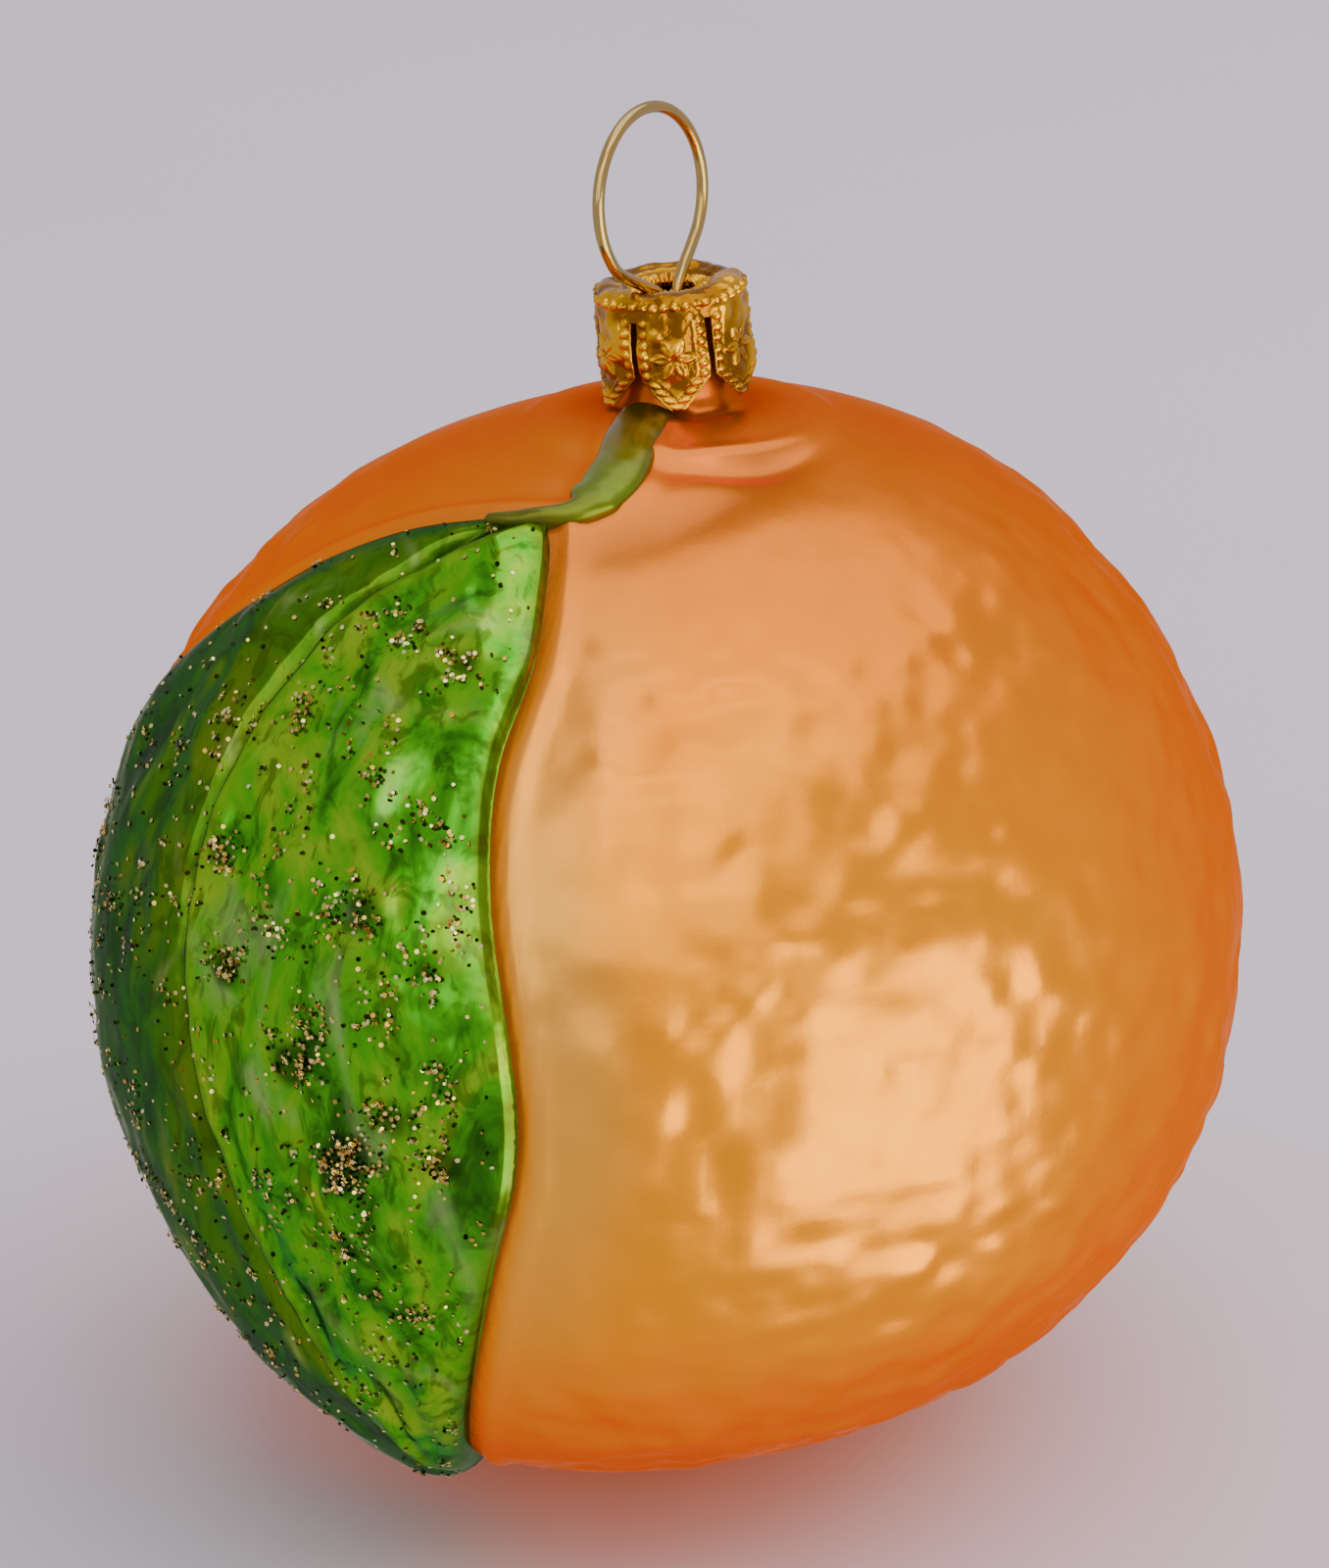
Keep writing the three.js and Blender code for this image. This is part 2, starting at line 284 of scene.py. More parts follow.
@dataclass(frozen=True)
class FruitShape:
    """The plain fruit: a superellipsoid with a few broad swellings and flats."""

    radius: float = 34.4
    half_height: float = 34.2
    upper_power: float = 2.04
    lower_power: float = 2.07
    """Powers of the outline above and below the middle: 2 is round."""
    crown: float = 33.5
    """Height of the neck's foot above the middle."""
    wall: float = 0.7
    swellings: tuple[tuple[float, float, float, float], ...] = (
        (0, 0, 28, -0.7),
        (0, 180, 40, -2.96),
        (40, 142, 26, 1.3),
        (-10, 150, 26, -0.79),
        (150, 35, 30, -0.92),
        (-50, 125, 32, -0.9),
        (-80, 60, 35, -0.57),
    )
    """Azimuth, polar angle and width in degrees, and height in mm, of each."""

    def point(self, azimuth: Array, polar: Array) -> Array:
        """Place points on the plain fruit.

        Args:
            azimuth: Azimuths in degrees.
            polar: Polar angles in degrees.

        Returns:
            Points in mm: a radius of R sin(polar)^(2/n) and a height of
            H cos(polar)^(2/n), with one power n above the middle and one below.
        """
        power = 2.0 / np.where(polar < 90.0, self.upper_power, self.lower_power)
        angle = np.radians(polar)
        radius = self.radius * np.abs(np.sin(angle)) ** power
        height = self.half_height * np.abs(np.cos(angle)) ** power * np.sign(np.cos(angle))
        turn = np.radians(azimuth)
        return np.stack([-radius * np.sin(turn), -radius * np.cos(turn), height], axis=-1)

    def outward(self, points: Array) -> Array:
        """Return the unit directions straight out of the plain fruit."""
        slope = points / np.array([self.radius, self.radius, self.half_height]) ** 2
        return slope / np.linalg.norm(slope, axis=-1, keepdims=True)

    def swelling(self, azimuth: Array, polar: Array) -> Array:
        """Return the height of the broad swellings, a bell round each middle."""
        here = self.direction(azimuth, polar)
        total = np.zeros(np.broadcast(azimuth, polar).shape)
        for middle_azimuth, middle_polar, width, height in self.swellings:
            middle = self.direction(np.array(middle_azimuth), np.array(middle_polar))
            away = np.degrees(np.arccos(np.clip(here @ middle, -1.0, 1.0)))
            total += height * bell(away, width)
        return total

    @staticmethod
    def direction(azimuth: Array, polar: Array) -> Array:
        """Return unit directions, to measure angles between places."""
        turn, angle = np.broadcast_arrays(np.radians(azimuth), np.radians(polar))
        across = np.sin(angle)
        return np.stack([across * np.sin(turn), across * np.cos(turn), np.cos(angle)], axis=-1)


@dataclass(frozen=True)
class HeadPlace:
    """Where the neck, the cap and the ring stand on the fruit."""

    fruit: FruitShape
    shift: float = -0.15
    """How far the neck's foot stands to the side."""
    lean: float = 5.0
    """The neck's lean to the left, in degrees."""
    blend: float = 2.5
    """How far below the neck's foot the glass starts to follow its shift."""
    ring_turn: float = 55.0
    """The turn of the ring's plane about the neck, in degrees."""
    ring_shift: float = -0.9
    ring_up: float = 12.1
    ring_radius: float = 5.05
    wire_radius: float = 0.35

    def lean_x(self, height: Array) -> Array:
        """Return the neck's sideways shift at heights above the middle."""
        start = smoothstep(height, self.fruit.crown - self.blend, self.fruit.crown)
        rise = np.maximum(0.0, height - self.fruit.crown)
        return self.shift * start - rise * np.tan(np.radians(self.lean))

    def to_fruit(self, points: Array) -> Array:
        """Take points from the leaning head to the fruit's middle.

        Args:
            points: Points in mm from the neck's foot, Z along the neck.

        Returns:
            The points turned by the lean about Y and moved to the crown.
        """
        angle = -np.radians(self.lean)
        x, y, z = points[..., 0], points[..., 1], points[..., 2]
        turned = [
            x * np.cos(angle) + z * np.sin(angle) + self.shift,
            y,
            z * np.cos(angle) - x * np.sin(angle) + self.fruit.crown,
        ]
        return np.stack(turned, axis=-1)

    def ring_to_head(self, across: Array, out: Array, up: Array) -> Array:
        """Take places in the ring's own plane to the leaning head.

        Args:
            across: Distance along the ring's plane from the neck's axis.
            out: Distance out of the plane.
            up: Height above the neck's foot.

        Returns:
            The points, with the plane turned about the neck.
        """
        turn = np.radians(self.ring_turn)
        x = across * np.cos(turn) - out * np.sin(turn)
        y = across * np.sin(turn) + out * np.cos(turn)
        return np.stack(np.broadcast_arrays(x, y, up), axis=-1)

    def hang_point(self) -> Array:
        """Return the place inside the top of the ring, from the middle."""
        top = np.array(self.ring_up + self.ring_radius - self.wire_radius)
        return self.to_fruit(self.ring_to_head(np.array(self.ring_shift), np.array(0.0), top))

    def to_frame(self, points: Array) -> Array:
        """Take points from the fruit's middle to the shared frame, in metres."""
        return (points - self.hang_point()) * MM


# ---- meshes -------------------------------------------------------------------


def make_object(name: str, points: Array, faces: Sequence[Array]) -> bpy.types.Object:
    """Make a mesh object from arrays.

    Args:
        name: The object's name.
        points: Corners in metres, one a row.
        faces: Arrays of faces, one face a row of corner numbers.  All faces of
            one array have the same number of sides.

    Returns:
        The object, smooth shaded and linked to the scene.
    """
    mesh = bpy.data.meshes.new(name)
    corners = np.concatenate([group.ravel() for group in faces])
    sides = np.concatenate([np.full(len(group), group.shape[1]) for group in faces])
    mesh.vertices.add(len(points))
    mesh.vertices.foreach_set("co", points.astype(np.float32).ravel())
    mesh.loops.add(len(corners))
    mesh.loops.foreach_set("vertex_index", corners.astype(np.int32))
    mesh.polygons.add(len(sides))
    mesh.polygons.foreach_set("loop_start", (np.cumsum(sides) - sides).astype(np.int32))
    mesh.update(calc_edges=True)
    mesh.validate()
    mesh.shade_smooth()
    obj = bpy.data.objects.new(name, mesh)
    bpy.context.scene.collection.objects.link(obj)
    return obj


def add_value(obj: bpy.types.Object, name: str, values: Array) -> None:
    """Store one number for each corner of a mesh, for its material.

    Args:
        obj: The object.
        name: What the material calls the number.
        values: The numbers, in the order of the mesh's corners.
    """
    attribute = obj.data.attributes.new(name, "FLOAT", "POINT")
    attribute.data.foreach_set("value", values.astype(np.float32).ravel())


def grid_quads(rows: int, columns: int, wrap: bool) -> Array:
    """Number the faces of a grid of points.

    Args:
        rows: Rows of points.
        columns: Points in each row.
        wrap: Whether the last column joins the first.

    Returns:
        Four corner numbers for each face.  Seen with the rows going up and
        the columns going right, the faces point at the viewer.
    """
    across = np.arange(columns if wrap else columns - 1)
    beside = (across + 1) % columns
    up = np.arange(rows - 1)[:, None] * columns
    quads = [up + across, up + beside, up + columns + beside, up + columns + across]
    return np.stack(quads, axis=-1).reshape(-1, 4)


def closed_tube(rows: int, columns: int) -> list[Array]:
    """Number the faces of a tube that is closed at both ends.

    Args:
        rows: Rings of points.
        columns: Points in each ring.

    Returns:
        The wall's faces as grid_quads numbers them, and a fan of triangles
        round a middle point for the first and the last ring.  The two middle
        points come after all rings.
    """
    here = np.arange(columns)
    beside = (here + 1) % columns
    last = (rows - 1) * columns
    middle = np.full(columns, rows * columns)
    first_fan = np.stack([middle, beside, here], axis=-1)
    last_fan = np.stack([middle + 1, last + here, last + beside], axis=-1)
    return [grid_quads(rows, columns, wrap=True), first_fan, last_fan]


# ---- nodes ---------------------------------------------------------------------


def linear(hex_colour: str) -> tuple[float, float, float, float]:
    """Turn an sRGB hex colour into the linear one that shaders take.

    Args:
        hex_colour: Six hex digits after a #.

    Returns:
        Red, green, blue and 1.
    """
    parts = []
    for start in (1, 3, 5):
        value = int(hex_colour[start : start + 2], 16) / 255.0
        parts.append(value / 12.92 if value <= 0.04045 else ((value + 0.055) / 1.055) ** 2.4)
    return (parts[0], parts[1], parts[2], 1.0)


class Material:
    """A material under construction, with its one Principled shader."""

    def __init__(self, name: str) -> None:
        """Start the material.

        Args:
            name: The material's name.
        """
        self.material = bpy.data.materials.new(name)
        self.material.use_nodes = True
        self.tree = self.material.node_tree
        self.shader = next(n for n in self.tree.nodes if n.type == "BSDF_PRINCIPLED")

    def node(self, kind: str, settings: dict[str, Any] | None = None, **inputs: Any) -> Any:
        """Add a node.

        Args:
            kind: The node's Blender class, without ShaderNode.
            settings: Values for the node's own properties.
            **inputs: A value or an output for each named input, with the
                spaces of its name written as underscores, or input_0 and so
                on for an input by its place.

        Returns:
            The node.
        """
        node = self.tree.nodes.new("ShaderNode" + kind)
        for key, value in (settings or {}).items():
            setattr(node, key, value)
        for key, value in inputs.items():
            socket = self.socket(node, key)
            if isinstance(value, bpy.types.NodeSocket):
                self.tree.links.new(value, socket)
            else:
                socket.default_value = value
        return node

    @staticmethod
    def socket(node: Any, key: str) -> Any:
        """Find a node's input by its written name or its place."""
        if key.startswith("input_"):
            return node.inputs[int(key[6:])]
        return node.inputs[key.replace("_", " ")]

    def shade(self, **inputs: Any) -> None:
        """Set or link inputs of the shader, named as in node."""
        for key, value in inputs.items():
            socket = self.socket(self.shader, key)
            if isinstance(value, bpy.types.NodeSocket):
                self.tree.links.new(value, socket)
            else:
                socket.default_value = value

    def ramp(self, factor: Any, stops: Sequence[tuple[float, str]]) -> Any:
        """Colour a value.

        Args:
            factor: The output to colour.
            stops: Place and hex colour of each stop.

        Returns:
            The colour output.
        """
        node = self.node("ValToRGB", Fac=factor)
        elements = node.color_ramp.elements
        while len(elements) < len(stops):
            elements.new(0.5)
        for element, (place, colour) in zip(elements, stops):
            element.position = place
            element.color = linear(colour)
        return node.outputs["Color"]

    def share(self, value: Any, low: float, high: float, start: float = 0.0, end: float = 1.0) -> Any:
        """Map a value smoothly from one range to another and clamp it.

        Args:
            value: The output to map.
            low: Input that gives start.
            high: Input that gives end.
            start: Result at low.
            end: Result at high.

        Returns:
            The mapped output.
        """
        settings = {"interpolation_type": "SMOOTHSTEP"}
        node = self.node("MapRange", settings, Value=value, From_Min=low, From_Max=high,
                         To_Min=start, To_Max=end)
        return node.outputs["Result"]

    def mix(self, factor: Any, first: Any, second: Any) -> Any:
        """Lay one colour on another.

        Args:
            factor: How much of the second shows.
            first: The colour below, an output or a linear colour.
            second: The colour above.

        Returns:
            The colour output.
        """
        node = self.node("Mix", {"data_type": "RGBA"}, input_0=factor, input_6=first, input_7=second)
        return node.outputs[2]

    def math(self, operation: str, first: Any, second: Any = 0.0) -> Any:
        """Return the output of a Math node."""
        node = self.node("Math", {"operation": operation}, input_0=first, input_1=second)
        return node.outputs[0]

    def attribute(self, name: str) -> Any:
        """Return a mesh's stored number."""
        return self.node("Attribute", {"attribute_name": name}).outputs["Fac"]

    def position(self) -> Any:
        """Return the object's own coordinates, in metres."""
        return self.node("TexCoord").outputs["Object"]

    def noise(self, grain_mm: float, detail: float = 2.0, stretch: Sequence[float] = (1, 1, 1),
              roughness: float = 0.5, distortion: float = 0.0) -> Any:
        """Return noise of a grain in mm over the object's coordinates.

        Args:
            grain_mm: Size of the pattern's largest features.
            detail: Octaves of finer noise on them.
            stretch: Finer along an axis with a greater number.
            roughness: Strength of the finer octaves.
            distortion: How far the pattern is warped.

        Returns:
            The noise's value output.
        """
        mapping = self.node("Mapping", Vector=self.position(), Scale=tuple(stretch))
        node = self.node("TexNoise", Vector=mapping.outputs[0], Scale=1.0 / (grain_mm * MM),
                         Detail=detail, Roughness=roughness, Distortion=distortion)
        return node.outputs[0]

    def bump(self, height: Any, depth_mm: float, strength: float = 1.0) -> Any:
        """Return a normal tilted by a height of a given depth in mm."""
        node = self.node("Bump", Strength=strength, Distance=depth_mm * MM, Height=height)
        return node.outputs["Normal"]


@dataclass(frozen=True)
class OrangeLacquer:
    """Satin translucent lacquer on silvered glass.

    The silver behind gives a metal's broad soft lights, and the matt lacquer
    colours them.  The colour is painted yellower on the front as a painted
    highlight, and deeper towards the foot as painted shade.  It is painted a
    darker orange towards the neck, a painted shade, and along the leaf's edge,
    and darkest in a ring round the neck and in the valley below the shoulder,
    both painted shade.  A band beside the leaf is painted pale, a painted
    reflection.
    """

    usual: str = "#FF8800"
    # Yellower front colour, a painted highlight.
    thin: str = "#FFA200"
    # Pale band beside the leaf, a painted reflection.
    painted_reflection: str = "#EAB04C"
    # Darker orange towards the neck, a painted shade, and along the leaf's edge.
    neck_shade_and_leaf_edge: str = "#E07C34"
    # Painted shade in the valley below the shoulder.
    valley: str = "#B4662C"
    # Painted shade in a ring round the neck.
    collar_shade: str = "#C8601C"
    # Colour towards the foot, a painted shade.
    painted_shade: str = "#FC8226"
    edge: str = "#FF9010"
    """The metal's colour seen at a low angle."""
    roughness: float = 0.28

    def build(self) -> bpy.types.Material:
        """Return the material."""
        mat = Material("satin_orange_lacquer_on_silvered_glass")
        broad = mat.share(mat.noise(14.0, 2.0), 0.3, 0.7, -0.08, 0.08)
        # Painted highlight on the front and painted shade towards the foot, with a little random tone.
        painted_highlight_and_foot_shade = mat.math("ADD", mat.attribute("painted_highlight_and_foot_shade"), broad)
        colour = mat.ramp(mat.share(painted_highlight_and_foot_shade, -1.0, 1.0),
                          [(0.0, self.painted_shade), (0.5, self.usual), (1.0, self.thin)])
        # The band beside the leaf is a painted reflection.
        colour = mat.mix(mat.attribute("silvered"), colour, linear(self.painted_reflection))
        beside_leaf = mat.share(mat.attribute("leaf_gap"), 0.1, 0.55, 0.8, 0.0)
        # Darker towards the neck: painted shade.
        near_neck = mat.share(mat.attribute("neck_gap"), 6.0, 31.0, 0.7, 0.0)
        neck_shade_and_leaf_edge = mat.math("MAXIMUM", beside_leaf, near_neck)
        # Painted shade in a ring round the neck.
        collar_shade = mat.share(mat.attribute("neck_gap"), 4.0, 8.0, 0.8, 0.0)
        # Painted shade in the valley below the shoulder.
        painted_valley_shade = mat.math("MULTIPLY", mat.attribute("valley"), 0.6)
        colour = mat.mix(neck_shade_and_leaf_edge, colour, linear(self.neck_shade_and_leaf_edge))
        colour = mat.mix(painted_valley_shade, colour, linear(self.valley))
        colour = mat.mix(collar_shade, colour, linear(self.collar_shade))
        cloud = mat.noise(3.2, 3.0, (1.0, 1.0, 1.5))
        rough = mat.share(cloud, 0.3, 0.7, self.roughness - 0.05, self.roughness + 0.05)
        grain = mat.bump(mat.noise(0.5, 2.0), 0.02, 0.35)
        # The silver alone mirrors: the matt lacquer adds no white shine of its own.
        mat.shade(Base_Color=colour, Metallic=0.75, Roughness=rough, Normal=grain,
                  Specular_Tint=linear(self.edge), Specular_IOR_Level=0.0)
        return mat.material


@dataclass(frozen=True)
class LeafLacquer:
    """Glossy translucent green lacquer on silvered glass.

    It was floated on thickly by hand, so it runs from dark green through
    emerald to yellow-green in patches, with darker strokes and pale wisps.
    The ridge by the midrib is painted lighter, a painted highlight, and the
    outer half, beyond the midrib, is painted darker, a painted shade.  It is
    nearly black in the midrib's groove and olive-brown along the edge, and is
    dark round each clump of glitter.
    """

    dark: str = "#2C7410"
    emerald: str = "#54BA18"
    bright: str = "#9CCA28"
    stroke: str = "#244A08"
    # Painted highlight on the ridge by the midrib.
    ridge: str = "#A2C81C"
    # Painted shade on the outer half of the leaf.
    shaded_left_half: str = "#48620A"
    wisp: str = "#C6D48E"
    olive: str = "#6E660E"
    groove: str = "#16330A"
    clump_dark: str = "#10260A"
    edge: str = "#6A8A1E"
    """The metal's colour seen at a low angle."""
    coat: str = "#C8F08C"

    def build(self) -> bpy.types.Material:
        """Return the material."""
        mat = Material("glossy_green_lacquer_on_silvered_glass")
        patches = mat.noise(6.0, 4.0, (1.3, 1.3, 0.85), 0.6, 0.8)
        colour = mat.ramp(patches, [(0.34, self.dark), (0.48, self.emerald), (0.66, self.bright)])
        strokes = mat.share(mat.noise(2.2, 3.0, (1.4, 1.4, 0.7), 0.6, 1.0), 0.36, 0.52, 0.6, 0.0)
        colour = mat.mix(strokes, colour, linear(self.stroke))
        rib = mat.attribute("rib")
        # The ridge is painted lighter: a painted highlight.
        ridge = mat.share(rib, -2.4, -0.8, 0.0, 0.55)
        shaded_left_half = mat.share(rib, -0.2, 0.6, 0.0, 1.0)
        not_left = mat.math("SUBTRACT", 1.0, shaded_left_half)
        colour = mat.mix(mat.math("MULTIPLY", ridge, not_left), colour, linear(self.ridge))
        # The outer half is painted darker: a painted shade.
        shade = mat.math("MULTIPLY", shaded_left_half, 0.7)
        colour = mat.mix(shade, colour, linear(self.shaded_left_half))
        wisps = mat.share(mat.noise(7.0, 3.0, (1.4, 1.4, 0.7), 0.5, 0.6), 0.56, 0.8, 0.0, 0.6)
        colour = mat.mix(wisps, colour, linear(self.wisp))
        edge = mat.share(mat.attribute("edge"), 0.1, 1.1, 0.6, 0.0)
        colour = mat.mix(edge, colour, linear(self.olive))
        groove = mat.share(mat.math("ABSOLUTE", rib), 0.1, 0.55, 0.85, 0.0)
        colour = mat.mix(groove, colour, linear(self.groove))
        clump_dark = mat.share(mat.attribute("clump"), 0.2, 1.0, 0.0, 0.75)
        colour = mat.mix(clump_dark, colour, linear(self.clump_dark))
        wave = mat.bump(mat.noise(2.2, 2.0), 0.12, 0.5)
        mat.shade(Base_Color=colour, Metallic=0.9, Roughness=0.2, Normal=wave,
                  Specular_Tint=linear(self.edge),
                  Coat_Weight=0.12, Coat_Roughness=0.08, Coat_Tint=linear(self.coat))
        return mat.material


@dataclass(frozen=True)
class StemLacquer:
    """The leaf's lacquer on the stem, brushed on thinner.

    It is olive-brown by the cap and greener below, with mossy patches.
    """

    along: tuple[tuple[float, str], ...] = (
        (0.0, "#64500A"), (0.28, "#807008"), (0.55, "#74920C"), (0.8, "#62660A"),
    )
    """Share of the way from the cap and colour at each stop."""
    patch: str = "#5E6E0A"

    def build(self) -> bpy.types.Material:
        """Return the material."""
        mat = Material("glossy_olive_lacquer_on_silvered_glass")
        colour = mat.ramp(mat.attribute("along"), self.along)
        patches = mat.share(mat.noise(1.8, 2.0), 0.4, 0.65, 0.0, 0.5)
        colour = mat.mix(patches, colour, linear(self.patch))
        mat.shade(Base_Color=colour, Metallic=0.8, Roughness=0.34,
                  Normal=mat.bump(mat.noise(0.9, 2.0), 0.06, 0.4),
                  Coat_Weight=0.25, Coat_Roughness=0.15)
        return mat.material


@dataclass(frozen=True)
class Glitter:
    """Metal-coated film cut to tiny flakes, each given a random tone: the dark ones are painted shade and
    the palest painted glints.
    """

    tones: tuple[tuple[float, str], ...] = (
        (0.0, "#141206"), (0.24, "#423810"), (0.32, "#BE9238"), (0.7, "#E6CC72"), (1.0, "#FFF2B4"),
    )
    # Share of the flakes and colour at each stop, from dark to bright: the darkest are painted shade, the
    # palest painted glints.
    """Share of the flakes and colour at each stop, from dark to bright."""

    def build(self) -> bpy.types.Material:
        """Return the material."""
        mat = Material("gold_glitter_flakes")
        colour = mat.ramp(mat.attribute("tone"), self.tones)
        mat.shade(Base_Color=colour, Metallic=1.0, Roughness=0.18)
        return mat.material


@dataclass(frozen=True)
class GiltSheet:
    """Thin embossed sheet with a bright gold-coloured lacquer.

    It mirrors sharply on the raised beads, and is painted ochre in the hollows as painted shade.
    """

    bright: str = "#F8B80E"
    # Ochre in the hollows: painted shade.
    painted_shade: str = "#966204"

    def build(self) -> bpy.types.Material:
        """Return the material."""
        mat = Material("gilt_embossed_sheet")
        # Painted shade: darker towards the hollows of the emboss.
        relief = mat.share(mat.attribute("emboss"), -0.06, 0.1, 0.0, 1.0)
        colour = mat.mix(relief, linear(self.painted_shade), linear(self.bright))
        crease = mat.bump(mat.noise(0.5, 3.0), 0.09, 0.8)
        mat.shade(Base_Color=colour, Metallic=1.0, Roughness=0.19, Normal=crease)
        return mat.material


@dataclass(frozen=True)
class SpringWire:
    """Drawn steel spring wire with a thin brass wash: pale and bright."""

    colour: str = "#B8A466"
    worn: str = "#C9A65A"

    def build(self) -> bpy.types.Material:
        """Return the material."""
        mat = Material("pale_gilt_spring_wire")
        worn = mat.share(mat.noise(1.5, 2.0), 0.35, 0.7)
        colour = mat.mix(worn, linear(self.colour), linear(self.worn))
        mat.shade(Base_Color=colour, Metallic=1.0, Roughness=0.14,
                  Normal=mat.bump(mat.noise(0.3, 1.0), 0.01, 0.4))
        return mat.material


@dataclass(frozen=True)
class Tabletop:
    """Matt pale painted board."""

    colour: str = "#EAE3E8"
    tint: str = "#E8E6E8"

    def build(self) -> bpy.types.Material:
        """Return the material."""
        mat = Material("matt_pale_board")
        patches = mat.share(mat.noise(60.0, 2.0), 0.3, 0.7)
        colour = mat.mix(patches, linear(self.colour), linear(self.tint))
        mat.shade(Base_Color=colour, Roughness=0.9)
        return mat.material


# ---- the leaf's outline ----------------------------------------------------------


@dataclass(frozen=True)
class LeafPlan:
    """Where the leaf and its stem lie on the fruit."""

    fruit: FruitShape
    inner_knots: tuple[tuple[float, float], ...] = (
        (28, 26), (23, 32.5), (19.8, 42), (20.7, 53), (19.2, 64), (15.6, 79),
        (14.9, 89), (17.5, 100), (21.5, 114), (27, 129), (34, 143),
    )
    outer_knots: tuple[tuple[float, float], ...] = (
        (28, 26), (41, 27.8), (54.5, 31.8), (65, 38.3), (72, 45.3), (79, 52.8), (88, 63),
        (94, 75), (96, 88), (93, 101), (85, 114), (73, 126), (58, 136), (45, 142), (34, 143),
    )
    rib_knots: tuple[tuple[float, float], ...] = (
        (28, 26), (40, 31), (47.5, 38), (53, 45), (55.2, 57), (55.3, 68), (54, 79),
        (51.3, 89), (47, 101.5), (42.5, 113), (37.5, 126), (34, 143),
    )
    """Azimuth and polar angle along the inner edge, the outer edge and the rib,
    from the stalk to the tip."""
    stem_knots: tuple[tuple[float, float, float], ...] = (
        (26, 6, 1.75), (19, 15, 1.65), (18.9, 19.6, 1.7), (20.4, 22.7, 1.35),
        (22, 24.8, 0.9), (26, 26.2, 0.65), (32.5, 27.6, 0.6), (40, 28.9, 0.4),
    )
    """Azimuth, polar angle and half width of the stem, from the neck on."""

    def line(self, knots: Sequence[Sequence[float]], count: int) -> Array:
        """Run a smooth line through places on the fruit at equal steps.

        Args:
            knots: Azimuth and polar angle of each knot, and any further value.
            count: How many points to return.

        Returns:
            Azimuth, polar angle and further values at equal steps of length
            over the fruit.
        """
        dense = spline(np.array(knots), DENSE)
        return even_steps(dense, count, self.fruit.point(dense[:, 0], dense[:, 1]))

    def on_fruit(self, line: Array) -> Array:
        """Return a line's points on the plain fruit, in mm."""
        return self.fruit.point(line[:, 0], line[:, 1])

    def outline(self) -> Array:
        """Return the closed outline, azimuth and polar angle of each corner."""
        inner = self.line(self.inner_knots, 180)
        outer = self.line(self.outer_knots, 200)
        return np.concatenate([inner, outer[-2:0:-1]])

    def edge_distance(self, azimuth: Array, polar: Array) -> Array:
        """Return how far places are inside the leaf's edge, negative outside."""
        outline = self.outline()
        closed = self.on_fruit(np.concatenate([outline, outline[:1]]))
        distance, _ = nearest_on_line(self.fruit.point(azimuth, polar), closed)
        inside = inside_outline(azimuth, polar, outline)
        return np.where(inside, distance, -distance)

    def stem_distance(self, azimuth: Array, polar: Array) -> Array:
        """Find how far places are inside the stem's side.

        Args:
            azimuth: Azimuths in degrees.
            polar: Polar angles in degrees.

        Returns:
            The distance in mm, negative outside.
        """
        line = self.line(self.stem_knots, 40)
        distance, place = nearest_on_line(self.fruit.point(azimuth, polar), self.on_fruit(line))
        half_width = np.interp(place, np.linspace(0.0, 1.0, len(line)), line[:, 2])
        return half_width - distance


# ---- the glass ---------------------------------------------------------------------


